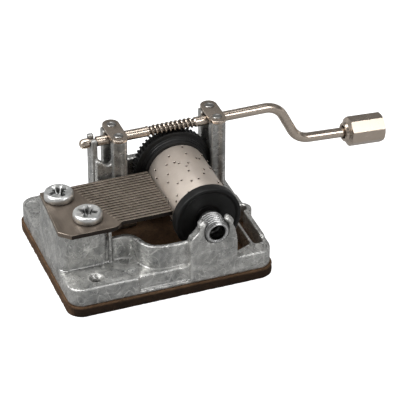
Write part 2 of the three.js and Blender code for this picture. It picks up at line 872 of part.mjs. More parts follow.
// Points where a path of straight runs is rounded at one corner.
function cornerArc(before, corner, after, radius) {
  const inward = before.clone().sub(corner).normalize();
  const outward = after.clone().sub(corner).normalize();
  const half = inward.angleTo(outward) / 2;
  const reach = radius / Math.tan(half);
  const start = corner.clone().addScaledVector(inward, reach);
  const end = corner.clone().addScaledVector(outward, reach);
  const middle = inward.clone().add(outward).normalize();
  const centre = corner.clone().addScaledVector(middle, radius / Math.sin(half));
  const steps = 7;
  const points = [start];
  for (let i = 1; i < steps; i += 1) {
    const share = i / steps;
    const chord = start.clone().lerp(end, share).sub(centre).normalize();
    points.push(centre.clone().addScaledVector(chord, radius));
  }
  points.push(end);
  return points;
}

const droop = THREE.MathUtils.degToRad(gripDroopDegrees);

// Height of the grip line, measured from the shaft axis.
function gripLineZ(x) {
  return -crankThrow - (x - crankLowX) * Math.tan(droop);
}

function bentArm(start) {
  const first = new THREE.Vector3(start, 0, 0);
  const high = new THREE.Vector3(crankStartX, 0, 0);
  const low = new THREE.Vector3(crankLowX, 0, gripLineZ(crankLowX));
  const last = new THREE.Vector3(gripEndX, 0, gripLineZ(gripEndX));
  const points = [
    first,
    ...cornerArc(first, high, low, crankBendRadius),
    ...cornerArc(high, low, last, crankBendRadius),
    last,
  ];
  return tubeAlong(points, shaftRadius, 16);
}

// A round bar through the given points in the X-Z plane, mitred at each point.
function tubeAlong(points, radius, sides) {
  const rings = points.map((point, i) => {
    const from = points[Math.max(i - 1, 0)];
    const to = points[Math.min(i + 1, points.length - 1)];
    const along = to.clone().sub(from).normalize();
    const sideways = new THREE.Vector3(0, 1, 0);
    const upward = along.clone().cross(sideways);
    const ring = [];
    for (let side = 0; side <= sides; side += 1) {
      const angle = side / sides * Math.PI * 2;
      const spot = point.clone()
        .addScaledVector(sideways, radius * Math.cos(angle))
        .addScaledVector(upward, radius * Math.sin(angle));
      ring.push(spot.toArray());
    }
    return ring;
  });
  return loft(rings);
}

function crankShaft() {
  const straightEnd = crankStartX - crankBendRadius - 2;
  const head = rod('x', gripHeadRadius, gripEndX - 1, gripEndX + 0.4, 24);
  head.translate(-gripEndX, 0, 0);
  head.rotateY(droop);
  head.translate(gripEndX, 0, gripLineZ(gripEndX));
  return joined(straightShaft(straightEnd), wormThread(), bentArm(straightEnd - embed), head);
}

// Eight-sided cap, built along X from its inner end.
function crankKnob() {
  const corner = knobAcrossFlats / 2 / Math.cos(Math.PI / 8);
  const cap = turned([
    [0, 0],
    [knobChamferRadius, 0],
    [corner, knobChamferLength],
    [corner, knobLength - knobEndBevel],
    [corner - knobEndBevel, knobLength],
    [0, knobLength],
  ], 'x', 8);
  cap.rotateX(Math.PI / 8);
  const neck = rod('x', knobNeckRadius, -1, knobNeckLength + embed, 24);
  const cavity = rod('x', knobCavityRadius, knobNeckLength, knobLength - knobEndWall, 24);
  return without(joined(cap), neck, cavity);
}

// ---- clip plates ----

function clipPlate(x) {
  const shape = stadium(x, shaftY - clipLength / 2, shaftY + clipLength / 2, clipWidth);
  const holes = studY.map((y) =>
    upright(x, y, studRadius + seatClearance * 2, clipBottom - 1, clipTop + 1, 20));
  return without(joined(slab(shape, clipBottom, clipTop, 10)), ...holes);
}

// ---- assembly ----

const zinc = [0x9a9993, 0.5, 0.8];
const bluedSteel = [0x5f574c, 0.45, 0.8];
const nickel = [0xc9b9aa, 0.25, 1];
const blackPlastic = [0x1c1c1c, 0.45, 0];
const brightZinc = [0xcfd0cd, 0.25, 1];
const steel = [0x8f8f8c, 0.35, 1];
const hardboard = [0x3a281a, 0.9, 0];
const lead = [0x6a6c70, 0.6, 0.7];

const movement = new THREE.Group();
movement.add(
  piece('base_board', baseBoard(), ...hardboard),
  piece('bedplate', bedplate(), ...zinc),
  piece('comb', comb(), ...bluedSteel),
);

for (const [place, at] of Object.entries(combScrewAt)) {
  movement.add(piece(`comb_screw_${place}`, combScrew(at), ...brightZinc));
}
for (const [place, at] of Object.entries(boardScrewAt)) {
  movement.add(piece(`board_screw_${place}`, boardScrew(at), ...brightZinc));
}
for (let i = 0; i < weightedTines; i += 1) {
  const index = tineCount - 1 - i;
  movement.add(piece(`tine_weight_${i + 1}`, tineWeight(index), ...lead));
}
for (let i = 0; i < dampedTines; i += 1) {
  const index = tineCount - 1 - i;
  movement.add(piece(`damper_wire_${i + 1}`, damperWire(index), ...steel));
}

const cylinder = new THREE.Group();
cylinder.position.set(axisX, 0, axisZ);
cylinder.add(
  piece('cylinder_barrel', barrel(), ...nickel),
  piece('front_flange', frontFlange(), ...blackPlastic),
  piece('worm_gear', wormGear(), ...blackPlastic),
  piece('cylinder_arbor', arbor(), ...steel),
);

const bearing = piece('front_bush', frontBush(), ...zinc);
bearing.position.set(axisX, 0, axisZ);

const crank = new THREE.Group();
crank.position.set(0, shaftY, shaftZ);
const knob = piece('crank_knob', crankKnob(), ...nickel);
knob.position.set(knobStartX, 0, gripLineZ(knobStartX));
knob.rotation.y = droop;
crank.add(piece('crank_shaft', crankShaft(), ...nickel), knob);

movement.add(cylinder, bearing, crank);
movement.add(piece('clip_plate_left', clipPlate(postX[0]), ...nickel));
movement.add(piece('clip_plate_right', clipPlate(postX[1]), ...nickel));

export default movement;
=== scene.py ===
import bpy
import bmesh
import math
import random
from mathutils import Matrix, Vector


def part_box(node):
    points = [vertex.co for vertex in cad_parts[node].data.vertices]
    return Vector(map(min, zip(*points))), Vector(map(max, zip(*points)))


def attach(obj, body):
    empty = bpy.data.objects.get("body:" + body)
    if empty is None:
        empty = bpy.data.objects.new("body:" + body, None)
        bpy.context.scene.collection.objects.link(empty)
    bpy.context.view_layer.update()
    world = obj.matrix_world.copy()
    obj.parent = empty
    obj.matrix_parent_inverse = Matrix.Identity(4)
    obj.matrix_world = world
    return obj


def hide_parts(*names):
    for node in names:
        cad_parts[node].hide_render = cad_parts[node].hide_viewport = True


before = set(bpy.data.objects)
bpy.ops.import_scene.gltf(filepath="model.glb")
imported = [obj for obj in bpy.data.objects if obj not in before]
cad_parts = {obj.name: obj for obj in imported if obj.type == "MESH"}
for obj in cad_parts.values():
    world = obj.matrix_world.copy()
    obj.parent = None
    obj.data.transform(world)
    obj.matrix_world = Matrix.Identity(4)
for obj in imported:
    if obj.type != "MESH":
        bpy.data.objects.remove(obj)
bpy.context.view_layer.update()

mm = 0.001
scene = bpy.context.scene


def cad(node):  # a node's lowest and highest corner, in millimetres
    low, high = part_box(node)
    return Vector(low) / mm, Vector(high) / mm


boardLow, boardHigh = cad("base_board")
castLow, castHigh = cad("bedplate")
combLow, combHigh = cad("comb")
flangeLow, flangeHigh = cad("front_flange")
gearLow, gearHigh = cad("worm_gear")
barrelLow, barrelHigh = cad("cylinder_barrel")
arborLow, arborHigh = cad("cylinder_arbor")
bushLow, bushHigh = cad("front_bush")
shaftLow = cad("crank_shaft")[0]
clipLow, clipHigh = cad("clip_plate_left")
axleX = (flangeLow.x + flangeHigh.x) / 2
axleZ = (flangeLow.z + flangeHigh.z) / 2
shaftY = (clipLow.y + clipHigh.y) / 2
clipDrop = 1.35  # from the underside of a clip plate down to the middle of the shaft
shaftZ = clipLow.z - clipDrop

# ---- mesh helpers, all in millimetres ----

along = {"X": Vector((1, 0, 0)), "Y": Vector((0, 1, 0)), "Z": Vector((0, 0, 1))}
outward = {"X": Vector((0, 0, 1)), "Y": Vector((0, 0, 1)), "Z": Vector((1, 0, 0))}


def rounded(points, radius, steps=3, closed=True):  # replaces each corner with a short curve
    result = []
    count = len(points)
    for i, point in enumerate(points):
        here = Vector(point)
        before, after = Vector(points[i - 1]), Vector(points[(i + 1) % count])
        if not closed and i in (0, count - 1):
            result.append(here)
            continue
        reach = min(radius, (before - here).length * 0.45, (after - here).length * 0.45)
        start = here + (before - here).normalized() * reach
        end = here + (after - here).normalized() * reach
        for step in range(steps + 1):
            share = step / steps
            first, second = start.lerp(here, share), here.lerp(end, share)
            result.append(first.lerp(second, share))
    return result


def arcPoints(x, y, radius, start, end, steps=8):
    turn = [math.radians(start + (end - start) * i / steps) for i in range(steps + 1)]
    return [(x + radius * math.cos(a), y + radius * math.sin(a)) for a in turn]


def roundRect(x0, y0, x1, y1, radius, steps=8):
    return (arcPoints(x1 - radius, y0 + radius, radius, -90, 0, steps)
            + arcPoints(x1 - radius, y1 - radius, radius, 0, 90, steps)
            + arcPoints(x0 + radius, y1 - radius, radius, 90, 180, steps)
            + arcPoints(x0 + radius, y0 + radius, radius, 180, 270, steps))


def spinProfile(bm, profile, axis="Y", steps=64, closed=False, turns=1, pitch=0.0):
    axle, side = along[axis], outward[axis]
    verts = [bm.verts.new(axle * place + side * radius) for radius, place in profile]
    pairs = list(zip(verts, verts[1:]))
    if closed:
        pairs.append((verts[-1], verts[0]))
    edges = [bm.edges.new(pair) for pair in pairs]
    count = round(steps * turns)
    bmesh.ops.spin(
        bm, geom=verts + edges, cent=(0, 0, 0), axis=axle, dvec=axle * (pitch * turns / count),
        angle=math.tau * turns, steps=count, use_merge=(pitch == 0), use_duplicate=False)
    if pitch == 0:
        bmesh.ops.remove_doubles(bm, verts=bm.verts, dist=0.0005)


def shift(bm, x=0.0, y=0.0, z=0.0):
    bmesh.ops.translate(bm, vec=(x, y, z), verts=bm.verts)
    return bm


def rotate(bm, angle, axis):
    bmesh.ops.rotate(bm, cent=(0, 0, 0), matrix=Matrix.Rotation(angle, 3, axis), verts=bm.verts)


def turned(profile, axis="Y", steps=64, closed=False, at=(0, 0, 0)):
    bm = bmesh.new()
    spinProfile(bm, profile, axis, steps, closed)
    bmesh.ops.recalc_face_normals(bm, faces=bm.faces)
    return shift(bm, *at)


def slab(points, low, high):  # a plan outline pulled up from low to high
    bm = bmesh.new()
    face = bm.faces.new([bm.verts.new((p[0], p[1], low)) for p in points])
    pulled = bmesh.ops.extrude_face_region(bm, geom=[face])
    top = [item for item in pulled["geom"] if isinstance(item, bmesh.types.BMVert)]
    bmesh.ops.translate(bm, vec=(0, 0, high - low), verts=top)
    bmesh.ops.recalc_face_normals(bm, faces=bm.faces)
    return bm


def wallSlab(points, front, back):  # an outline in X and Z, pulled from front to back
    bm = slab(points, -back, -front)
    rotate(bm, math.pi / 2, "X")
    return bm


def soften(bm, width, segments=2, angle=30):
    edges = [e for e in bm.edges if e.is_manifold and e.calc_face_angle(0) > math.radians(angle)]
    bmesh.ops.bevel(
        bm, geom=edges, offset=width, offset_type="OFFSET", segments=segments, profile=0.5,
        affect="EDGES", clamp_overlap=True, material=-1)
    return bm


def merged(first, *others):  # several meshes in one, still separate shells
    for other in others:
        mesh = bpy.data.meshes.new("part")
        other.to_mesh(mesh)
        other.free()
        first.from_mesh(mesh)
        bpy.data.meshes.remove(mesh)
    return first


def asObject(bm, name="part"):
    mesh = bpy.data.meshes.new(name)
    bm.to_mesh(mesh)
    bm.free()
    item = bpy.data.objects.new(name, mesh)
    scene.collection.objects.link(item)
    return item


def evaluated(item):  # the object's mesh with its modifiers applied, as a bmesh
    bpy.context.view_layer.update()
    mesh = bpy.data.meshes.new_from_object(item.evaluated_get(bpy.context.evaluated_depsgraph_get()))
    bm = bmesh.new()
    bm.from_mesh(mesh)
    bpy.data.meshes.remove(mesh)
    bpy.data.objects.remove(item)
    return bm


def combined(first, second, operation="UNION"):
    body, tool = asObject(first), asObject(second)
    modifier = body.modifiers.new("cut", "BOOLEAN")
    modifier.operation = operation
    modifier.solver = "EXACT"
    modifier.object = tool
    result = evaluated(body)
    bpy.data.objects.remove(tool)
    return result


def makePiece(name, bm, material, body, nodes, sharp):
    bmesh.ops.remove_doubles(bm, verts=bm.verts, dist=0.0004)
    bmesh.ops.dissolve_degenerate(bm, edges=bm.edges, dist=0.0002)
    bmesh.ops.recalc_face_normals(bm, faces=bm.faces)
    for face in bm.faces:
        face.smooth = True
    for edge in bm.edges:
        edge.smooth = edge.calc_face_angle(0) < math.radians(sharp)
    bmesh.ops.scale(bm, vec=(mm, mm, mm), verts=bm.verts)
    piece = asObject(bm, name)
    piece.data.materials.append(material)
    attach(piece, body)
    if nodes:
        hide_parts(*nodes)


# ---- shader helpers ----

def setInputs(tree, node, values):
    for key, value in values.items():
        if isinstance(value, bpy.types.NodeSocket):
            tree.links.new(value, node.inputs[key])
        else:
            node.inputs[key].default_value = value


def put(tree, kind, inputs=None, **settings):
    node = tree.nodes.new(kind)
    for key, value in settings.items():
        setattr(node, key, value)
    setInputs(tree, node, inputs or {})
    return node


def newGroup(name, inputs, outputs):  # an input that is not one number is a vector
    tree = bpy.data.node_groups.new(name, "ShaderNodeTree")
    for label, value in inputs.items():
        kind = "NodeSocketFloat" if isinstance(value, float) else "NodeSocketVector"
        socket = tree.interface.new_socket(name=label, in_out="INPUT", socket_type=kind)
        if value is not None:
            socket.default_value = value
    for label in outputs:
        tree.interface.new_socket(name=label, in_out="OUTPUT", socket_type="NodeSocketFloat")
    return tree, tree.nodes.new("NodeGroupInput").outputs, tree.nodes.new("NodeGroupOutput").inputs


def maths(tree, operation, a, b=0.0, clamp=False):
    return put(tree, "ShaderNodeMath", {0: a, 1: b}, operation=operation, use_clamp=clamp).outputs[0]


def vectorMaths(tree, operation, *values):
    return put(tree, "ShaderNodeVectorMath", dict(enumerate(values)), operation=operation).outputs


def noise(tree, place, scale, detail, roughness=0.5, swirl=0.0):
    return put(tree, "ShaderNodeTexNoise", {
        "Vector": place, "Scale": scale, "Detail": detail, "Roughness": roughness,
        "Distortion": swirl}).outputs["Fac"]


def axisOf(tree, vector, axis):
    return put(tree, "ShaderNodeSeparateXYZ", {"Vector": vector}).outputs[axis]


def ramp(tree, factor, stops):  # stops: (position, value)
    node = put(tree, "ShaderNodeValToRGB", {"Fac": factor})
    elements = node.color_ramp.elements
    while len(elements) < len(stops):
        elements.new(0.5)
    for element, (position, value) in zip(elements, stops):
        element.position = position
        element.color = (value, value, value, 1)
    return node.outputs["Color"]


def mixColour(tree, factor, first, second):
    return put(tree, "ShaderNodeMix", {0: factor, 6: first, 7: second}, data_type="RGBA").outputs[2]


def tinted(tree, mask, share, base, layer):  # lays a share of the masked layer over the base
    return mixColour(tree, maths(tree, "MULTIPLY", mask, share), base, layer)


def colour(red, green, blue):
    return (red, green, blue, 1.0)


# Cloudy patches that flow in one direction, as on cast or aged metal.
def buildMottle():
    tree, given, result = newGroup(
        "mottle", {"Vector": None, "Scale": 200.0, "Swirl": 1.5, "Contrast": 0.5}, ["Patches", "Fine"])
    big = noise(tree, given["Vector"], given["Scale"], detail=4.0, roughness=0.6, swirl=given["Swirl"])
    finer = maths(tree, "MULTIPLY", given["Scale"], 9.0)
    small = noise(tree, given["Vector"], finer, detail=3.0, roughness=0.7)
    centred = maths(tree, "SUBTRACT", big, 0.5)
    spread = maths(tree, "MULTIPLY", centred, maths(tree, "MULTIPLY", given["Contrast"], 4.0))
    tree.links.new(maths(tree, "ADD", spread, 0.5, clamp=True), result["Patches"])
    tree.links.new(small, result["Fine"])
    return tree


# Brightened outer edges: partly wear where handling rubs the surface, partly a painted highlight along the
# edges.
def buildEdgeWearAndSheen():
    tree, given, result = newGroup(
        "edgeWearAndSheen", {"Vector": None, "Width": 0.0003, "Amount": 0.6, "Breakup": 900.0}, ["Mask"])
    soft = put(tree, "ShaderNodeBevel", {"Radius": given["Width"]}, samples=4).outputs[0]
    flat = put(tree, "ShaderNodeNewGeometry").outputs["Normal"]
    facing = vectorMaths(tree, "DOT_PRODUCT", soft, flat)["Value"]
    edge = maths(tree, "MULTIPLY", maths(tree, "SUBTRACT", 1.0, facing), 7.0, clamp=True)
    broken = noise(tree, given["Vector"], given["Breakup"], detail=2.0)
    kept = maths(tree, "MULTIPLY", edge, ramp(tree, broken, [(0.35, 0.2), (0.6, 1.0)]))
    tree.links.new(maths(tree, "MULTIPLY", kept, given["Amount"], clamp=True), result["Mask"])
    return tree


# Fine parallel lines left by a grinding wheel or a lathe tool.
def buildToolLines():
    tree, given, result = newGroup(
        "toolLines", {"Vector": None, "Stretch": (1, 1, 1), "Scale": 1500.0}, ["Lines", "Depth"])
    drawn = vectorMaths(tree, "MULTIPLY", given["Vector"], given["Stretch"])[0]
    depth = noise(tree, drawn, given["Scale"], detail=4.0, roughness=0.65)
    tree.links.new(ramp(tree, depth, [(0.35, 0.0), (0.65, 1.0)]), result["Lines"])
    tree.links.new(depth, result["Depth"])
    return tree


def thinLine(tree, away, width):  # 1 on the line, fading to 0 at its width
    return maths(tree, "SUBTRACT", 1.0, maths(tree, "DIVIDE", away, width), clamp=True)


# Thin scratches in all directions: the narrow ridges of a noise.
def buildScratches():
    tree, given, result = newGroup(
        "scratches", {"Vector": None, "Scale": 300.0, "Width": 0.02, "Swirl": 1.0}, ["Mask"])
    cloud = noise(tree, given["Vector"], given["Scale"], detail=1.5, swirl=given["Swirl"])
    away = maths(tree, "ABSOLUTE", maths(tree, "SUBTRACT", cloud, 0.5))
    tree.links.new(thinLine(tree, away, given["Width"]), result["Mask"])
    return tree


# The faint ring that an ejector pin leaves on a moulded or cast face; the same ring mask also places the
# painted highlight and painted shade at a hole's mouth.
def buildEjectorRing():
    tree, given, result = newGroup(
        "ejectorRing", {"Vector": None, "Centre": None, "Radius": 0.0015, "Line": 0.00012}, ["Mask"])
    apart = vectorMaths(tree, "DISTANCE", given["Vector"], given["Centre"])["Value"]
    away = maths(tree, "ABSOLUTE", maths(tree, "SUBTRACT", apart, given["Radius"]))
    tree.links.new(thinLine(tree, away, given["Line"]), result["Mask"])
    return tree


# Painted shade: darkening in corners and hollows, taken from ambient occlusion and broken up by a noise.
def buildHollowShade():
    tree, given, result = newGroup(
        "hollowShade", {"Vector": None, "Reach": 0.0015, "Amount": 0.7, "Breakup": 500.0}, ["Mask"])
    daylight = put(tree, "ShaderNodeAmbientOcclusion", {"Distance": given["Reach"]}, samples=6)
    shut = maths(tree, "SUBTRACT", 1.0, daylight.outputs["AO"])
    cloud = noise(tree, given["Vector"], given["Breakup"], detail=3.0)
    uneven = maths(tree, "MULTIPLY", shut, ramp(tree, cloud, [(0.3, 0.5), (0.7, 1.0)]))
    tree.links.new(maths(tree, "MULTIPLY", uneven, given["Amount"], clamp=True), result["Mask"])
    return tree


mottle, edgeWearAndSheen, toolLines = buildMottle(), buildEdgeWearAndSheen(), buildToolLines()
scratches, ejectorRing, hollowShade = buildScratches(), buildEjectorRing(), buildHollowShade()


def useGroup(tree, group, place, **inputs):  # the inputs have the names of the group's sockets
    return put(tree, "ShaderNodeGroup", {"Vector": place, **inputs}, node_tree=group).outputs


def startMaterial(name):
    material = bpy.data.materials.new(name)
    material.use_nodes = True
    tree = material.node_tree
    tree.nodes.clear()
    surface = put(tree, "ShaderNodeBsdfPrincipled")
    put(tree, "ShaderNodeOutputMaterial", {"Surface": surface.outputs[0]})
    place = put(tree, "ShaderNodeTexCoord").outputs["Object"]
    return material, tree, surface, place


def bump(tree, height, distance, strength=1.0):
    return put(tree, "ShaderNodeBump", {
        "Height": height, "Distance": distance, "Strength": strength}).outputs["Normal"]


def mapRange(tree, value, low, high):
    return put(tree, "ShaderNodeMapRange", {"Value": value, "To Min": low, "To Max": high}).outputs["Result"]


def paint(tree, surface, tint, metallic, roughness, relief):
    # roughness is a mask with its low and high value; relief is a height with its distance and strength
    setInputs(tree, surface, {
        "Base Color": tint, "Metallic": metallic, "Roughness": mapRange(tree, *roughness),
        "Normal": bump(tree, *relief)})


# ---- finishes ----

def castZinc():
    material, tree, surface, place = startMaterial("castZinc")
    cloud = useGroup(tree, mottle, place, Scale=70.0, Swirl=2.0, Contrast=0.9)
    streak = useGroup(tree, mottle, place, Scale=210.0, Swirl=6.0, Contrast=0.8)
    flow = useGroup(tree, scratches, place, Scale=120.0, Width=0.016, Swirl=4.5)
    scuff = useGroup(tree, scratches, place, Scale=230.0, Width=0.018, Swirl=1.2)
    stain = useGroup(tree, mottle, place, Scale=150.0, Swirl=3.0, Contrast=1.6)
    wearAndSheen = useGroup(tree, edgeWearAndSheen, place, Width=0.0006, Amount=1.0, Breakup=400.0)
    cornerShade = useGroup(tree, hollowShade, place, Reach=0.0010, Amount=0.75, Breakup=420.0)
    base = mixColour(tree, cloud["Patches"], colour(0.27, 0.275, 0.273), colour(0.74, 0.735, 0.71))
    streaked = tinted(tree, streak["Patches"], 0.4, base, colour(0.66, 0.65, 0.62))
    stained = tinted(tree, stain["Patches"], 0.30, streaked, colour(0.13, 0.13, 0.125))
    marked = tinted(tree, flow["Mask"], 0.5, stained, colour(0.14, 0.14, 0.13))
    scuffed = tinted(tree, scuff["Mask"], 0.6, marked, colour(0.92, 0.91, 0.88))
    height = streak["Patches"]
    for x, y, radius in casting["ejectors"]:
        centre = (x * mm, y * mm, casting["ledge"] * mm)
        ring = useGroup(tree, ejectorRing, place, Centre=centre, Radius=radius * mm)
        scuffed = tinted(tree, ring["Mask"], 0.8, scuffed, colour(0.10, 0.10, 0.10))
        height = maths(tree, "SUBTRACT", height, ring["Mask"])
    # the hole's mouth: a painted highlight ring round its rim, painted shade inside it
    x, y, radius = casting["hole"]
    mouth = (x * mm, y * mm, casting["ledge"] * mm)
    rimHighlight = useGroup(tree, ejectorRing, place, Centre=mouth, Radius=radius * mm * 2.1, Line=0.0003)
    shade = useGroup(
        tree, ejectorRing, place, Centre=mouth, Radius=radius * mm * 0.7, Line=radius * mm * 1.1)
    scuffed = tinted(tree, rimHighlight["Mask"], 0.7, scuffed, colour(0.85, 0.84, 0.81))
    scuffed = mixColour(tree, shade["Mask"], scuffed, colour(0.045, 0.036, 0.028))
    # wear and painted highlight: the casting's edges are lightened
    wornAndLit = mixColour(tree, wearAndSheen["Mask"], scuffed, colour(0.90, 0.89, 0.86))
    # painted shade: the casting's corners and hollows are darkened
    cornerShaded = mixColour(tree, cornerShade["Mask"], wornAndLit, colour(0.07, 0.066, 0.060))
    grain = maths(tree, "ADD", maths(tree, "MULTIPLY", cloud["Fine"], 0.4), height)
    paint(tree, surface, cornerShaded, metallic=0.8, roughness=(streak["Patches"], 0.24, 0.42),
          relief=(grain, 0.00006, 0.8))
    return material


def axleDistance(tree, place):  # how far a point lies from the line of the cylinder's axle
    flat = vectorMaths(tree, "MULTIPLY", place, (1, 0, 1))[0]
    return vectorMaths(tree, "DISTANCE", flat, (axleX * mm, 0, axleZ * mm))["Value"]


# The threaded bush: painted highlights on the crests and the end ring, painted shade in the thread's valleys
# and in the bore.
def threadedZinc():
    material, tree, surface, place = startMaterial("threadedZinc")
    cloud = useGroup(tree, mottle, place, Scale=500.0, Swirl=1.0, Contrast=0.9)
    share = maths(tree, "DIVIDE", axleDistance(tree, place), (bushHigh.x - bushLow.x) / 2 * mm)
    bore, valley, crest = 0.66, 0.90, 0.99
    shade = ramp(tree, share, [
        (bore, 0.02), (bore + 0.03, 0.62), (valley - 0.04, 0.66), (valley + 0.01, 0.10),
        (crest - 0.02, 0.55), (crest, 0.72)])
    tint = tinted(tree, cloud["Patches"], 0.4, shade, colour(0.30, 0.30, 0.29))
    paint(tree, surface, tint, metallic=0.85, roughness=(cloud["Patches"], 0.2, 0.38),
          relief=(cloud["Fine"], 0.00006, 0.7))
    return material


def combSteel():
    material, tree, surface, place = startMaterial("combSteel")
    cloud = useGroup(tree, mottle, place, Scale=120.0, Swirl=1.0, Contrast=0.6)
    lines = useGroup(tree, toolLines, place, Stretch=(1.0, 0.06, 1.0), Scale=2600.0)
    wearAndSheen = useGroup(tree, edgeWearAndSheen, place, Width=0.0002, Amount=1.0, Breakup=900.0)
    base = mixColour(tree, cloud["Patches"], colour(0.150, 0.120, 0.096), colour(0.250, 0.208, 0.170))
    lined = tinted(tree, lines["Lines"], 0.3, base, colour(0.30, 0.25, 0.20))
    # wear and painted highlight: a bright line along the comb's edges
    wornAndLit = mixColour(tree, wearAndSheen["Mask"], lined, colour(0.70, 0.60, 0.50))
    # painted shade: the faces turned along Y, the sides of the tines, are darkened
    normal = put(tree, "ShaderNodeNewGeometry").outputs["True Normal"]
    sideways = maths(tree, "ABSOLUTE", axisOf(tree, normal, "Y"))
    paintedSideLight = ramp(tree, sideways, [(0.75, 0.0), (0.9, 0.9)])
    dark = mixColour(tree, paintedSideLight, wornAndLit, colour(0.016, 0.012, 0.010))
    paint(tree, surface, dark, metallic=0.8, roughness=(cloud["Patches"], 0.38, 0.52),
          relief=(lines["Depth"], 0.00003, 0.5))
    return material


def nickelPlate():
    material, tree, surface, place = startMaterial("nickelPlate")
    cloud = useGroup(tree, mottle, place, Scale=260.0, Swirl=0.6, Contrast=0.5)
    wearAndSheen = useGroup(tree, edgeWearAndSheen, place, Width=0.00015, Amount=0.2, Breakup=300.0)
    base = mixColour(tree, cloud["Patches"], colour(0.62, 0.52, 0.43), colour(0.74, 0.64, 0.545))
    # wear and painted highlight: the edges are lightened
    wornAndLit = mixColour(tree, wearAndSheen["Mask"], base, colour(0.88, 0.80, 0.71))
    # painted shade: hollows are darkened
    hollows = useGroup(tree, hollowShade, place, Reach=0.0008, Amount=1.5, Breakup=600.0)
    shaded = mixColour(tree, hollows["Mask"], wornAndLit, colour(0.06, 0.048, 0.038))
    # painted shade between the threads of the worm, darker towards the roots
    offset = vectorMaths(tree, "SUBTRACT", place, (axleX * mm, shaftY * mm, shaftZ * mm))[0]
    across = vectorMaths(tree, "MULTIPLY", offset, (0, 1, 1))[0]
    reach = vectorMaths(tree, "LENGTH", across)["Value"]
    lengthwise = maths(tree, "ABSOLUTE", axisOf(tree, offset, "X"))
    onWorm = maths(tree, "LESS_THAN", lengthwise, worm["halfLength"] * mm)
    share = maths(tree, "DIVIDE", reach, worm["tip"] * mm)
    valley = ramp(tree, share, [(0.72, 0.8), (0.93, 0.4), (1.0, 0.1)])
    valleyShaded = mixColour(tree, maths(tree, "MULTIPLY", onWorm, valley), shaded, colour(0.085, 0.068, 0.052))
    paint(tree, surface, valleyShaded, metallic=1.0, roughness=(cloud["Patches"], 0.20, 0.30),
          relief=(cloud["Fine"], 0.000002, 0.2))
    return material


def satinBarrel():
    material, tree, surface, place = startMaterial("satinBarrel")
    cloud = useGroup(tree, mottle, place, Scale=150.0, Swirl=0.8, Contrast=0.45)
    lines = useGroup(tree, toolLines, place, Stretch=(0.25, 1.0, 0.25), Scale=2200.0)
    base = mixColour(tree, cloud["Patches"], colour(0.62, 0.54, 0.47), colour(0.72, 0.64, 0.565))
    lined = tinted(tree, lines["Lines"], 0.2, base, colour(0.78, 0.71, 0.64))
    reach = axleDistance(tree, place)
    skin = (barrelHigh.x - barrelLow.x) / 2 * mm
    share = maths(tree, "DIVIDE", reach, skin)
    # painted shade: each pin's sides, from the barrel's skin to just under its tip, are painted near black
    flanks = ramp(tree, share, [(0.945, 0.0), (0.955, 1.0), (0.988, 1.0), (0.998, 0.0)])
    pinned = mixColour(tree, flanks, lined, colour(0.035, 0.028, 0.022))
    paint(tree, surface, pinned, metallic=0.7, roughness=(cloud["Patches"], 0.40, 0.50),
          relief=(lines["Depth"], 0.00002, 0.5))
    return material


def blackMoulding():
    material, tree, surface, place = startMaterial("blackMoulding")
    cloud = useGroup(tree, mottle, place, Scale=300.0, Swirl=0.5, Contrast=0.5)
    wearAndSheen = useGroup(tree, edgeWearAndSheen, place, Width=0.00025, Amount=0.35, Breakup=900.0)
    base = mixColour(tree, cloud["Patches"], colour(0.006, 0.006, 0.006), colour(0.014, 0.014, 0.0135))
    # wear and painted highlight: the edges are lightened
    wornAndLit = mixColour(tree, wearAndSheen["Mask"], base, colour(0.055, 0.054, 0.052))
    surface.inputs["Specular IOR Level"].default_value = 0.3
    paint(tree, surface, wornAndLit, metallic=0.0, roughness=(cloud["Patches"], 0.36, 0.5),
          relief=(cloud["Fine"], 0.00004, 0.5))
    return material


def brightPlating():
    material, tree, surface, place = startMaterial("brightPlating")
    cloud = useGroup(tree, mottle, place, Scale=420.0, Swirl=1.2, Contrast=0.6)
    wearAndSheen = useGroup(tree, edgeWearAndSheen, place, Width=0.0002, Amount=0.4, Breakup=900.0)
    base = mixColour(tree, cloud["Patches"], colour(0.80, 0.81, 0.80), colour(0.95, 0.95, 0.93))
    # wear and painted highlight: the edges are lightened
    wornAndLit = mixColour(tree, wearAndSheen["Mask"], base, colour(0.92, 0.92, 0.90))
    # painted shade: the cross recesses and other hollows are darkened
    hollows = useGroup(tree, hollowShade, place, Reach=0.0016, Amount=2.2, Breakup=900.0)
    shaded = mixColour(tree, hollows["Mask"], wornAndLit, colour(0.03, 0.03, 0.028))
    paint(tree, surface, shaded, metallic=1.0, roughness=(cloud["Patches"], 0.30, 0.46),
          relief=(cloud["Fine"], 0.00004, 0.5))
    return material


def turnedSteel():
    material, tree, surface, place = startMaterial("turnedSteel")
    cloud = useGroup(tree, mottle, place, Scale=300.0, Swirl=0.8, Contrast=0.5)
    lines = useGroup(tree, toolLines, place, Stretch=(0.3, 1.0, 0.3), Scale=1800.0)
    base = mixColour(tree, cloud["Patches"], colour(0.30, 0.29, 0.28), colour(0.44, 0.43, 0.41))
    paint(tree, surface, base, metallic=1.0, roughness=(lines["Lines"], 0.25, 0.42),
          relief=(lines["Depth"], 0.00002, 0.5))
    return material


def dullLead():
    material, tree, surface, place = startMaterial("dullLead")
    cloud = useGroup(tree, mottle, place, Scale=500.0, Swirl=1.5, Contrast=0.7)
    base = mixColour(tree, cloud["Patches"], colour(0.10, 0.10, 0.11), colour(0.22, 0.22, 0.23))
    paint(tree, surface, base, metallic=0.6, roughness=(cloud["Fine"], 0.5, 0.75),
          relief=(cloud["Fine"], 0.00008, 0.8))
    return material


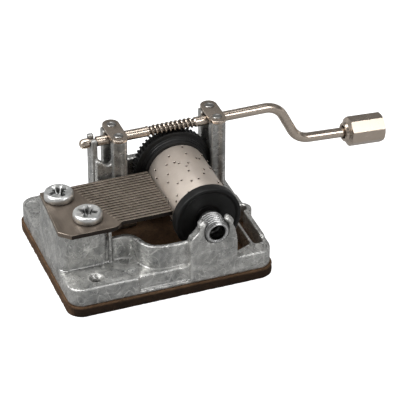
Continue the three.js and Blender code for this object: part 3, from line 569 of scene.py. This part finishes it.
def pressedBoard():
    material, tree, surface, place = startMaterial("pressedBoard")
    cloud = useGroup(tree, mottle, place, Scale=220.0, Swirl=1.0, Contrast=0.7)
    fibre = useGroup(tree, toolLines, place, Stretch=(0.35, 0.35, 1.6), Scale=2400.0)
    top = boardHigh.z * mm
    rise = put(tree, "ShaderNodeMapRange", {
        "Value": axisOf(tree, place, "Z"), "From Min": top * 0.82, "From Max": top * 0.99}).outputs["Result"]
    core = mixColour(tree, cloud["Patches"], colour(0.012, 0.007, 0.004), colour(0.036, 0.019, 0.010))
    skin = mixColour(tree, cloud["Patches"], colour(0.085, 0.046, 0.024), colour(0.17, 0.10, 0.055))
    # painted light: faces turned to the left are painted paler, in the top's skin colour, than the front
    normal = put(tree, "ShaderNodeNewGeometry").outputs["True Normal"]
    leftward = maths(tree, "MULTIPLY", axisOf(tree, normal, "X"), -1.0)
    paintedSideLight = ramp(tree, leftward, [(0.6, 0.0), (0.95, 0.75)])
    sided = mixColour(tree, maths(tree, "MAXIMUM", rise, paintedSideLight), core, skin)
    specks = useGroup(tree, scratches, place, Scale=900.0, Width=0.05, Swirl=0.4)
    fibred = tinted(tree, fibre["Lines"], 0.2, sided, colour(0.10, 0.06, 0.036))
    fibred = tinted(tree, specks["Mask"], 0.35, fibred, colour(0.006, 0.004, 0.003))
    surface.inputs["Specular IOR Level"].default_value = 0.2
    paint(tree, surface, fibred, metallic=0.0, roughness=(fibre["Lines"], 0.72, 0.95),
          relief=(fibre["Depth"], 0.00015, 0.9))
    return material


# the casting's and the shaft's finishes need these values as well as their shapes
worm = {"turns": 10, "tip": 1.4, "root": 0.93, "shaft": 1.25, "halfLength": 5.8}
casting = {
    "grid": 0.26, "smoothing": 2, "ledge": 7.5, "ejectorDepth": 0.12,
    "ejectors": [(-9.2, -17.9, 1.45), (-23.2, 17.7, 1.7), (22.9, -18.6, 1.5)],  # x, y, radius
    "hole": (-18.1, -17.2, 0.9),  # x, y, radius
    "ribs": [  # x, y, radius, bottom, top
        (-12.85, -12.2, 0.42, 7.0, 16.3), (4.75, castLow.y + 0.75, 0.72, 3.0, 14.6),
        (15.55, castLow.y + 0.85, 0.8, 3.0, 12.8), (-2.75, shaftY - 3.85, 0.8, 3.0, 28.0),
        (22.75, shaftY - 3.85, 0.8, 3.0, 28.0)],
    "lumps": {-28: -3.35, 31: 3.35},  # turn in degrees, distance from the axle along X
    "lumpRise": 2.3, "lumpInset": 1.4, "lumpRoughness": 0.2, "lumpSize": (1.15, 1.5, 0.85),
    "studArea": (-10, 0, 30, 20), "studSunk": 0.15,  # left, front, right, rear
}
zinc, steelComb, nickel, barrelSkin = castZinc(), combSteel(), nickelPlate(), satinBarrel()
threads = threadedZinc()
plastic, plating, steel, leadGrey, board = (
    blackMoulding(), brightPlating(), turnedSteel(), dullLead(), pressedBoard())
print("finishes made")

# ---- camera, lights and floor ----

view = {
    "azimuth": -20.43, "elevation": 33.93, "distance": 591.3, "lens": 210.3, "target": (20.14, 15.47, 0.0),
}


def addCamera():
    turn, rise = math.radians(view["azimuth"]), math.radians(view["elevation"])
    back = Vector((math.sin(turn) * math.cos(rise), -math.cos(turn) * math.cos(rise), math.sin(rise)))
    camera = bpy.data.objects.new("camera", bpy.data.cameras.new("camera"))
    camera.data.lens = view["lens"]
    camera.data.sensor_width = 36.0
    camera.data.clip_start, camera.data.clip_end = 0.01, 10.0
    camera.location = (Vector(view["target"]) + back * view["distance"]) * mm
    camera.rotation_mode = "QUATERNION"
    camera.rotation_quaternion = (-back).to_track_quat("-Z", "Y")
    scene.collection.objects.link(camera)
    scene.camera = camera


lamps = {
    "keyLamp": {"at": (-0.42, 0.02, 0.42), "size": 0.30, "power": 2.4},
    "fillLamp": {"at": (0.30, -0.45, 0.42), "size": 0.25, "power": 1.1},
    "topLamp": {"at": (-0.02, 0.10, 0.60), "size": 0.35, "power": 1.6},
}
skyBands = [  # height, from 0 at the horizon and below it to 1 straight up, with its brightness
    (0.0, 0.75), (0.10, 0.62), (0.20, 0.16), (0.42, 0.10),
    (0.52, 0.26), (0.64, 0.26), (0.80, 0.10), (1.0, 0.16)]
floorGlow = 1.0  # the floor shines for the camera only, so it lights nothing


def addLights():
    for name, lamp in lamps.items():
        data = bpy.data.lights.new(name, "AREA")
        data.size = lamp["size"]
        data.energy = lamp["power"]
        item = bpy.data.objects.new(name, data)
        item.location = lamp["at"]
        item.rotation_mode = "QUATERNION"
        item.rotation_quaternion = (Vector((0.01, 0, 0.01)) - item.location).to_track_quat("-Z", "Y")
        scene.collection.objects.link(item)
    world = bpy.data.worlds.new("studio")
    scene.world = world
    world.use_nodes = True
    tree = world.node_tree
    tree.nodes.clear()
    way = put(tree, "ShaderNodeTexCoord").outputs["Generated"]
    shade = ramp(tree, axisOf(tree, way, "Z"), skyBands)
    glow = put(tree, "ShaderNodeBackground", {"Color": shade, "Strength": 1.0})
    put(tree, "ShaderNodeOutputWorld", {"Surface": glow.outputs[0]})
    scene.view_settings.view_transform = "Standard"


def addFloor():
    bm = bmesh.new()
    bmesh.ops.create_grid(bm, x_segments=2, y_segments=2, size=3.0)
    floor = asObject(bm, "floor")
    material, tree, surface, _ = startMaterial("paleFloor")
    seen = put(tree, "ShaderNodeLightPath").outputs["Is Camera Ray"]
    setInputs(tree, surface, {
        "Base Color": colour(0.36, 0.36, 0.36), "Roughness": 0.9, "Emission Strength": floorGlow,
        "Emission Color": mixColour(tree, seen, colour(0, 0, 0), colour(1, 1, 1))})
    floor.data.materials.append(material)


addCamera()
addLights()
addFloor()
print("camera, lights and floor placed")

# ---- base board ----

baseBoard = {
    "corner": 3.8, "fray": 0.16, "frayAbove": 0.3, "frayChange": 2.0, "grain": 0.7,
    # height and how far the side lies inside the outline there
    "levels": [(0.0, 0.3), (0.25, 0.06), (1.0, 0.0), (1.9, 0.02), (2.55, 0.0), (2.8, 0.22)],
}


def makeBoard():
    random.seed(5)
    spec = baseBoard
    middlePoint = Vector((0.0, 0.0))
    bm = bmesh.new()
    rings = []
    for height, inset in spec["levels"]:
        low, high = boardLow + Vector((inset, inset, 0)), boardHigh - Vector((inset, inset, 0))
        points = roundRect(low.x, low.y, high.x, high.y, spec["corner"] - inset, steps=8)
        dense = []
        for i, point in enumerate(points):
            after = Vector(points[(i + 1) % len(points)])
            count = max(1, int((after - Vector(point)).length / spec["grain"]))
            dense += [Vector(point).lerp(after, k / count) for k in range(count)]
        fray = spec["fray"] * (1.0 if height < spec["frayChange"] else spec["frayAbove"])
        verts = []
        for point in dense:
            inward = (middlePoint - point).normalized() * random.random() ** 2 * fray
            verts.append(bm.verts.new((point.x + inward.x, point.y + inward.y, height)))
        rings.append([bm.edges.new((verts[i - 1], verts[i])) for i in range(len(verts))])
    for lower, upper in zip(rings, rings[1:]):
        bmesh.ops.bridge_loops(bm, edges=lower + upper)
    for ring in (rings[0], rings[-1]):
        bmesh.ops.contextual_create(bm, geom=ring)
    makePiece("baseBoard", bm, board, "frame", ["base_board"], sharp=50)


makeBoard()
print("base board made")

# ---- casting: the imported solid, given foundry detail and softened edges ----

def column(x, y, radius, low, high, steps=20):
    profile = [(0, low), (radius, low), (radius, high - radius * 0.4), (radius * 0.55, high), (0, high)]
    return turned(profile, "Z", steps, at=(x, y, 0))


def stakedLump(x, z, turn):
    rough = casting["lumpRoughness"]
    bm = bmesh.new()
    bmesh.ops.create_icosphere(bm, subdivisions=3, radius=1.0)
    random.seed(turn)
    for vert in bm.verts:
        vert.co *= 1.0 + random.uniform(-rough, rough)
    bmesh.ops.scale(bm, vec=casting["lumpSize"], verts=bm.verts)
    rotate(bm, math.radians(turn), "Y")
    return shift(bm, x, castLow.y + casting["lumpInset"], z)


def makeCasting():
    solid = bmesh.new()
    solid.from_mesh(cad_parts["bedplate"].data)
    bmesh.ops.scale(solid, vec=(1 / mm, 1 / mm, 1 / mm), verts=solid.verts)
    bmesh.ops.remove_doubles(solid, verts=solid.verts, dist=0.0005)
    ledge, depth = casting["ledge"], casting["ejectorDepth"]
    marks = bmesh.new()
    for x, y, radius in casting["ejectors"]:
        outline = [(0, ledge - depth), (radius, ledge - depth), (radius, ledge + 1), (0, ledge + 1)]
        merged(marks, turned(outline, "Z", 32, at=(x, y, 0)))
    # the stud heads above the clips are pieces of their own
    area = roundRect(*casting["studArea"], radius=1.0)
    merged(marks, slab(area, clipHigh.z - casting["studSunk"], castHigh.z + 1))
    solid = combined(solid, marks, "DIFFERENCE")
    for rib in casting["ribs"]:
        merged(solid, column(*rib))
    for turn, aside in casting["lumps"].items():
        merged(solid, stakedLump(axleX + aside, axleZ + casting["lumpRise"], turn))
    item = asObject(solid)
    remesh = item.modifiers.new("cast", "REMESH")
    remesh.mode = "VOXEL"
    remesh.voxel_size = casting["grid"]
    bm = evaluated(item)
    print("casting triangles:", sum(len(face.verts) - 2 for face in bm.faces))
    for _ in range(casting["smoothing"]):
        bmesh.ops.smooth_vert(
            bm, verts=bm.verts, factor=0.5, use_axis_x=True, use_axis_y=True, use_axis_z=True)
    makePiece("casting", bm, zinc, "frame", ["bedplate"], sharp=80)


makeCasting()
print("casting made")

# ---- comb and its screws ----

comb = {
    "tines": 18, "pitch": 1.04, "gap": 0.38, "longRoot": -16.7, "shortRoot": -10.4,
    "slant": 0.9, "cornerCut": 2.6, "shoulder": -13.2, "shoulderRadius": 1.6, "edge": 0.07,
}


def makeComb():
    spec = comb
    width = spec["pitch"] - spec["gap"]
    firstY = combHigh.y - width - spec["pitch"] * (spec["tines"] - 1)
    points = [
        (combLow.x + spec["slant"], combHigh.y), (combLow.x, combLow.y + spec["cornerCut"]),
        (combLow.x + spec["cornerCut"], combLow.y), (spec["shoulder"], combLow.y)]
    shoulder = rounded([
        (spec["shoulder"], combLow.y), (-11.3, combLow.y + 0.1), (-9.8, firstY + 0.02),
        (-8.2, firstY)], spec["shoulderRadius"], 5, closed=False)
    points += [(p[0], p[1]) for p in shoulder[1:]]
    for i in range(spec["tines"]):
        near = firstY + i * spec["pitch"]
        root = spec["shortRoot"] + (spec["longRoot"] - spec["shortRoot"]) * i / (spec["tines"] - 1)
        if i > 0:
            points.append((root, near))
        points += [(combHigh.x, near), (combHigh.x, near + width)]
        if i < spec["tines"] - 1:
            points.append((root, near + width))
    bm = slab(points, combLow.z, combHigh.z)
    soften(bm, spec["edge"], 1)
    makePiece("comb", bm, steelComb, "frame", ["comb"], sharp=30)


combScrew = {
    "radius": 3.6, "height": 2.0, "shank": 1.5, "turn": {"rear": 12, "front": 58}, "recessDepth": 1.6,
    "arms": [(0, 2.6, 0.58), (90, 2.6, 0.58), (45, 1.7, 0.28), (135, 1.7, 0.28)],  # turn, reach, half width
}


def recessCutter(top):
    cutter = bmesh.new()
    above = 0.1
    for turn, reach, half in combScrew["arms"]:
        arm = bmesh.new()
        bmesh.ops.create_cube(arm, size=1.0)
        depth = combScrew["recessDepth"] + above
        bmesh.ops.scale(arm, vec=(reach * 2, half * 2, depth), verts=arm.verts)
        shift(arm, z=top + above - depth / 2)
        for vert in arm.verts:
            if vert.co.z < top:
                vert.co.x *= 0.4
                vert.co.y *= 0.6
        rotate(arm, math.radians(turn), "Z")
        cutter = arm if not cutter.verts else combined(cutter, arm)
    return cutter


def makeCombScrew(place):
    node = f"comb_screw_{place}"
    low, high = cad(node)
    spec = combScrew
    top, seat = high.z, high.z - spec["height"]
    radius = spec["radius"]
    head = rounded([
        (radius - 0.1, seat), (radius, seat + 0.2), (radius, seat + 1.25), (radius * 0.95, top - 0.25),
        (radius * 0.84, top)], 0.3, 4, closed=False)
    shank = [(0, low.z), (spec["shank"], low.z), (spec["shank"], seat)]
    profile = shank + [tuple(p) for p in head] + [(0, top)]
    bm = combined(turned(profile, "Z", 72), recessCutter(top), "DIFFERENCE")
    soften(bm, 0.05, 1, angle=50)
    rotate(bm, math.radians(spec["turn"][place]), "Z")
    shift(bm, (low.x + high.x) / 2, (low.y + high.y) / 2)
    makePiece(f"combScrew_{place}", bm, plating, "frame", [node], sharp=32)


makeComb()
for place in ("rear", "front"):
    makeCombScrew(place)
print("comb and screws made")

# ---- cylinder: barrel with pins, front flange, worm gear, arbor ----

tune = {  # beat number: tines that sound
    0: [3, 10], 2: [5], 3: [7, 12], 5: [2], 6: [9, 15], 8: [4], 9: [11], 10: [6, 13], 12: [1, 8],
    14: [10, 16], 15: [3], 17: [5, 12], 18: [14], 20: [7, 9], 21: [0], 23: [4, 11], 24: [13, 17],
    26: [2, 6], 27: [8], 29: [10, 15], 30: [5, 12], 32: [1], 33: [3, 9, 14], 35: [7], 36: [11, 16],
    38: [4, 6], 39: [13], 41: [2, 8], 42: [10], 44: [0, 5], 45: [12, 15], 47: [7, 9],
    1: [14, 17], 4: [0, 12], 7: [1, 13], 13: [3, 11], 16: [8, 15], 19: [2, 12], 22: [6, 16], 25: [11, 14],
    28: [4, 13], 31: [9, 16], 34: [0, 17], 37: [7, 14], 40: [1, 15], 43: [5, 13], 46: [3, 11],
}
barrel = {"pinHeight": 0.45, "pinRadius": 0.29, "pinLength": 0.8, "wall": 0.65, "beats": 48, "wander": 0.15}
spigot = 6.6  # radius of the plastic ends inside the barrel
arborHole = 1.55  # radius of the hole through both plastic ends


def makeBarrel():
    spec = barrel
    radius = (barrelHigh.x - barrelLow.x) / 2 - spec["pinHeight"]
    inner = radius - spec["wall"]
    outline = rounded([
        (inner, barrelLow.y), (radius, barrelLow.y), (radius, barrelHigh.y), (inner, barrelHigh.y)], 0.12, 2)
    bm = turned(outline, "Y", 128, closed=True)
    width = comb["pitch"] - comb["gap"]
    lastY = combHigh.y - width / 2
    random.seed(11)
    for beat, tines in tune.items():
        for tine in tines:
            pin = bmesh.new()
            bmesh.ops.create_cone(
                pin, cap_ends=True, segments=10, radius1=spec["pinRadius"], radius2=spec["pinRadius"] * 0.8,
                depth=spec["pinLength"])
            soften(pin, 0.04, 1)
            shift(pin, z=radius + spec["pinHeight"] - spec["pinLength"] / 2)
            late = random.uniform(-spec["wander"], spec["wander"])
            angle = (beat + late) / spec["beats"] * math.tau
            rotate(pin, angle, "Y")
            shift(pin, y=lastY - (comb["tines"] - 1 - tine) * comb["pitch"])
            merged(bm, pin)
    shift(bm, axleX, 0, axleZ)
    makePiece("barrel", bm, barrelSkin, "cylinder", ["cylinder_barrel"], sharp=45)


def makeFlange():
    radius = (flangeHigh.x - flangeLow.x) / 2
    front, back = flangeLow.y, barrelLow.y - 0.05
    outline = rounded([
        (arborHole, front + 0.9), (2.9, front + 0.9), (3.3, front + 0.55), (radius - 1.3, front + 0.4),
        (radius - 0.75, front), (radius, front), (radius, back), (spigot, back),
        (spigot, flangeHigh.y), (arborHole, flangeHigh.y)], 0.25, 3)
    bm = turned(outline, "Y", 128, closed=True, at=(axleX, 0, axleZ))
    makePiece("frontFlange", bm, plastic, "cylinder", ["front_flange"], sharp=40)


gear = {
    "teeth": 52, "width": 3.3, "toothHeight": 0.6, "ridge": 8.65, "hub": 8.1, "rim": 0.6, "dishDepth": 0.7,
}


def makeGear():
    spec = gear
    tip = (gearHigh.x - gearLow.x) / 2
    root = tip - spec["toothHeight"]
    front = gearHigh.y - spec["width"]
    step = math.tau / spec["teeth"]
    # a tooth space lies under a crest of the worm
    phase = (wormStart + wormPitch * 0.75 - axleX) / wormPitch * step
    shares = [
        (-0.5, root), (-0.34, root), (-0.24, tip - 0.2), (-0.15, tip - 0.08), (0.15, tip - 0.08),
        (0.24, tip - 0.2), (0.34, root)]
    points = []
    for tooth in range(spec["teeth"]):
        for share, radius in shares:
            angle = phase + (tooth + 0.5 + share) * step
            points.append((radius * math.sin(angle), radius * math.cos(angle)))
    rim = wallSlab(points, front + 0.1, gearHigh.y)
    ridge, shoulderY, back = spec["ridge"], barrelHigh.y + 0.05, gearHigh.y
    hub = rounded([
        (arborHole, gearLow.y), (spigot, gearLow.y), (spigot, shoulderY), (spec["hub"], shoulderY),
        (spec["hub"], front - 0.75), (ridge - 0.35, front - 0.75), (ridge - 0.2, front - 0.35),
        (ridge + 0.05, front - 0.35), (ridge + 0.1, front), (tip, front),
        (tip, front + spec["rim"]), (root, front + 1.2), (arborHole, front + 1.2)], 0.14, 3)
    bore = turned([(0, front - 4), (arborHole, front - 4), (arborHole, back + 1), (0, back + 1)], "Y", 32)
    floorY = back - spec["dishDepth"]
    dish = turned([(3.2, floorY), (7.8, floorY), (8.2, back + 1), (2.8, back + 1)], "Y", 96, closed=True)
    bm = combined(combined(rim, turned(hub, "Y", 128, closed=True)), merged(bore, dish), "DIFFERENCE")
    shift(bm, axleX, 0, axleZ)
    makePiece("wormGear", bm, plastic, "cylinder", ["worm_gear"], sharp=32)


def makeArbor():
    radius = (arborHigh.x - arborLow.x) / 2
    corners = [(0, arborLow.y), (radius, arborLow.y), (radius, arborHigh.y), (0, arborHigh.y)]
    bm = turned(rounded(corners, 0.3, 3, closed=False), "Y", 48, at=(axleX, 0, axleZ))
    makePiece("arbor", bm, steel, "cylinder", ["cylinder_arbor"], sharp=35)


toothDepthMiddle = (gearHigh.x - gearLow.x) / 2 - gear["toothHeight"] / 2
wormPitch = math.tau * toothDepthMiddle / gear["teeth"]
wormStart = axleX - wormPitch * worm["turns"] / 2
wormEnd = axleX + wormPitch * worm["turns"] / 2

makeBarrel()
makeFlange()
makeGear()
makeArbor()
print("cylinder made")

# ---- front bush ----

bush = {"bore": 1.95, "pitch": 0.75, "threadDepth": 0.32, "boreDepth": 3.5, "journal": 1.6}


def makeBush():
    spec = bush
    radius = (bushHigh.x - bushLow.x) / 2
    front, back = bushLow.y, bushHigh.y
    floorY, root = front + spec["boreDepth"], radius - spec["threadDepth"]
    profile = [
        (spec["journal"], floorY), (spec["bore"], floorY - 0.2), (spec["bore"], front + 0.35),
        (spec["bore"] + 0.3, front), (radius - 0.5, front), (radius - 0.12, front + 0.3),
        (radius - 0.12, front + 0.55)]
    turns = int((back - front - 0.9) / spec["pitch"])
    for turn in range(turns):
        y = front + 0.6 + turn * spec["pitch"]
        profile += [
            (root, y), (root + 0.02, y + 0.1), (radius - 0.02, y + 0.36), (radius, y + 0.45),
            (radius - 0.03, y + 0.52)]
    profile += [(root, back - 0.1), (spec["journal"], back)]
    bm = turned(profile, "Y", 96, closed=True, at=(axleX, 0, axleZ))
    makePiece("frontBush", bm, threads, "frame", ["front_bush"], sharp=30)


makeBush()
print("front bush made")

# ---- crank: straight shaft with the worm, bent arm, grip ----

crank = {
    "fork": -9.4, "forkWidth": 1.5, "neck": 0.8, "corner": 38.7, "low": 44.3, "throw": 10.9,
    "bend": 5.6, "droop": 3.6, "gripEnd": 64.0, "headRadius": 1.9, "straightEnd": 33.0, "wormFade": 0.28,
}


def bendTube(bm, edges, centre, angle):  # turns the open end of the bar round the bend's centre
    verts = list({v for e in edges for v in e.verts})
    spun = bmesh.ops.spin(bm, geom=verts + edges, cent=centre, axis=(0, 1, 0), angle=angle, steps=18,
                          use_merge=False, use_duplicate=False)
    return [item for item in spun["geom_last"] if isinstance(item, bmesh.types.BMEdge)]


def extendTube(bm, edges, step):
    pulled = bmesh.ops.extrude_edge_only(bm, edges=edges)["geom"]
    bmesh.ops.translate(bm, vec=step, verts=[v for v in pulled if isinstance(v, bmesh.types.BMVert)])
    return [e for e in pulled if isinstance(e, bmesh.types.BMEdge) and all(v in pulled for v in e.verts)]


def makeCrank():
    spec, radius = crank, worm["shaft"]
    neckLow = spec["fork"] - spec["forkWidth"] / 2 - 0.1
    neckHigh = spec["fork"] + spec["forkWidth"] / 2 + 0.1
    left = shaftLow.x
    straightEnd = spec["straightEnd"]
    collar = radius + 0.12
    profile = [
        (0, left), (0.45, left + 0.06), (0.85, left + 0.27), (1.12, left + 0.62), (radius, left + 1.15),
        (radius, neckLow - 0.15), (spec["neck"], neckLow), (spec["neck"], neckHigh),
        (radius, neckHigh + 0.15), (radius, wormStart - 0.75), (collar, wormStart - 0.65),
        (collar, wormStart - 0.3), (worm["root"], wormStart), (worm["root"], wormEnd),
        (radius, wormEnd + 0.4), (radius, straightEnd), (0, straightEnd)]
    bm = turned(profile, "X", 48)
    thread = bmesh.new()
    buried, tip = worm["root"] - 0.1, worm["tip"]
    ridge = [
        (buried, -0.46), (1.05, -0.37), (1.24, -0.27), (1.36, -0.16), (tip, -0.05),
        (tip, 0.05), (1.36, 0.16), (1.24, 0.27), (1.05, 0.37), (buried, 0.46)]
    spinProfile(thread, [(r, p + wormStart) for r, p in ridge], "X", 32, closed=True,
                turns=worm["turns"], pitch=wormPitch)
    for vert in thread.verts:
        run = min(vert.co.x - wormStart, wormEnd - vert.co.x) / (wormPitch * 0.5)
        fade = 1.0 - spec["wormFade"] + spec["wormFade"] * max(0.0, min(1.0, run))
        vert.co.y *= fade
        vert.co.z *= fade
    bmesh.ops.holes_fill(thread, edges=[e for e in thread.edges if e.is_boundary])
    bmesh.ops.recalc_face_normals(thread, faces=thread.faces)
    # a quarter turn brings the crests over the gear's tooth spaces
    rotate(thread, -math.pi / 2, "X")
    bm = combined(bm, thread)
    arm = bmesh.new()
    bmesh.ops.create_circle(arm, cap_ends=False, radius=radius, segments=40)
    rotate(arm, math.pi / 2, "Y")
    shift(arm, x=straightEnd - 1)
    slope = math.atan2(spec["throw"], spec["low"] - spec["corner"])
    droop = math.radians(spec["droop"])
    firstReach = spec["bend"] * math.tan(slope / 2)
    secondReach = spec["bend"] * math.tan((slope - droop) / 2)
    edges = extendTube(arm, list(arm.edges), (spec["corner"] - firstReach - straightEnd + 1, 0, 0))
    edges = bendTube(arm, edges, (spec["corner"] - firstReach, 0, -spec["bend"]), slope)
    diagonal = math.hypot(spec["throw"], spec["low"] - spec["corner"]) - firstReach - secondReach
    edges = extendTube(arm, edges, (diagonal * math.cos(slope), 0, -diagonal * math.sin(slope)))
    down = Vector((math.cos(slope), 0, -math.sin(slope)))
    start = Vector((spec["low"], 0, -spec["throw"])) - down * secondReach
    centre = start + Vector((math.sin(slope), 0, math.cos(slope))) * spec["bend"]
    edges = bendTube(arm, edges, centre, -(slope - droop))
    last = (spec["gripEnd"] - spec["low"]) / math.cos(droop) - secondReach
    extendTube(arm, edges, (last * math.cos(droop), 0, -last * math.sin(droop)))
    bmesh.ops.remove_doubles(arm, verts=arm.verts, dist=0.0005)
    bmesh.ops.holes_fill(arm, edges=[e for e in arm.edges if e.is_boundary])
    bmesh.ops.recalc_face_normals(arm, faces=arm.faces)
    bm = combined(bm, arm)
    wide = spec["headRadius"]
    head = turned([(0, -1.0), (wide, -1.0), (wide, 0.2), (1.2, 0.4), (0, 0.4)], "X", 32)
    rotate(head, droop, "Y")
    shift(head, spec["gripEnd"], 0, gripLine(spec["gripEnd"]))
    bm = combined(bm, head)
    shift(bm, 0, shaftY, shaftZ)
    makePiece("crank", bm, nickel, "crank", ["crank_shaft"], sharp=34)


def gripLine(x):
    return -crank["throw"] - (x - crank["low"]) * math.tan(math.radians(crank["droop"]))


grip = {"start": 56.8, "length": 10.3, "flats": 7.1, "bore": 1.6, "cavity": 2.3, "capThickness": 1.2}


def makeGrip():
    spec = grip
    corner = spec["flats"] / 2 / math.cos(math.pi / 8)
    length = spec["length"]
    prism = turned([(0, 0), (corner, 0), (corner, length), (0, length)], "X", 8)
    rotate(prism, math.pi / 8, "X")
    limit = turned([
        (0, 0), (2.2, 0), (2.4, 0.15), (2.55, 0.75), (2.9, 0.95), (corner + 0.02, 1.5),
        (corner + 0.02, length - 0.22), (corner - 0.28, length), (0, length)], "X", 96)
    bm = combined(prism, limit, "INTERSECT")
    soften(bm, 0.07, 2, angle=20)
    bore, cavity, end = spec["bore"], spec["cavity"], length - spec["capThickness"]
    hollow = turned([
        (0, -1), (bore + 0.25, -1), (bore + 0.25, 0.0), (bore, 0.3), (bore, 2.2), (cavity, 2.3),
        (cavity, end), (0, end)], "X", 64)
    bm = combined(bm, hollow, "DIFFERENCE")
    droop = math.radians(crank["droop"])
    rotate(bm, droop, "Y")
    shift(bm, spec["start"], shaftY, shaftZ + gripLine(spec["start"]))
    makePiece("grip", bm, nickel, "grip", ["crank_knob"], sharp=24)


makeCrank()
makeGrip()
print("crank and grip made")

# ---- clip plates and the peened studs that hold them ----

clip = {"edge": 0.14}
stud = {"distance": 2.75, "neck": 0.9, "head": 1.16}


def makeClip(side):
    node = f"clip_plate_{side}"
    low, high = cad(node)
    radius = (high.x - low.x) / 2
    x = (low.x + high.x) / 2
    frontEnd = arcPoints(x, low.y + radius, radius, 180, 360, 18)
    points = frontEnd + arcPoints(x, high.y - radius, radius, 0, 180, 18)
    bm = soften(slab(points, low.z, high.z), clip["edge"], 3, angle=60)
    makePiece(f"clipPlate_{side}", bm, nickel, "frame", [node], sharp=40)
    for end in (-1, 1):
        y = shaftY + end * stud["distance"]
        neck, head, seat, top = stud["neck"], stud["head"], high.z, castHigh.z
        profile = rounded([
            (0, seat - 0.3), (neck, seat - 0.3), (neck, seat + 0.01), (head - 0.06, seat + 0.02),
            (head, seat + 0.12), (0.95, top), (0.7, top - 0.04), (0.5, top - 0.1),
            (0, top - 0.12)], 0.05, 2, closed=False)
        name = f"stud_{side}_{'front' if end < 0 else 'rear'}"
        makePiece(name, turned(profile, "Z", 40, at=(x, y, 0)), steel, "frame", (), sharp=35)


for side in ("left", "right"):
    makeClip(side)
print("clip plates made")

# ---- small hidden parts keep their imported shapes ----

hiddenFinishes = {"tine_weight": leadGrey, "damper_wire": steel, "board_screw": plating}
for node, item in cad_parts.items():
    for start, material in hiddenFinishes.items():
        if node.startswith(start):
            item.data.materials.clear()
            item.data.materials.append(material)
print("hidden parts finished")
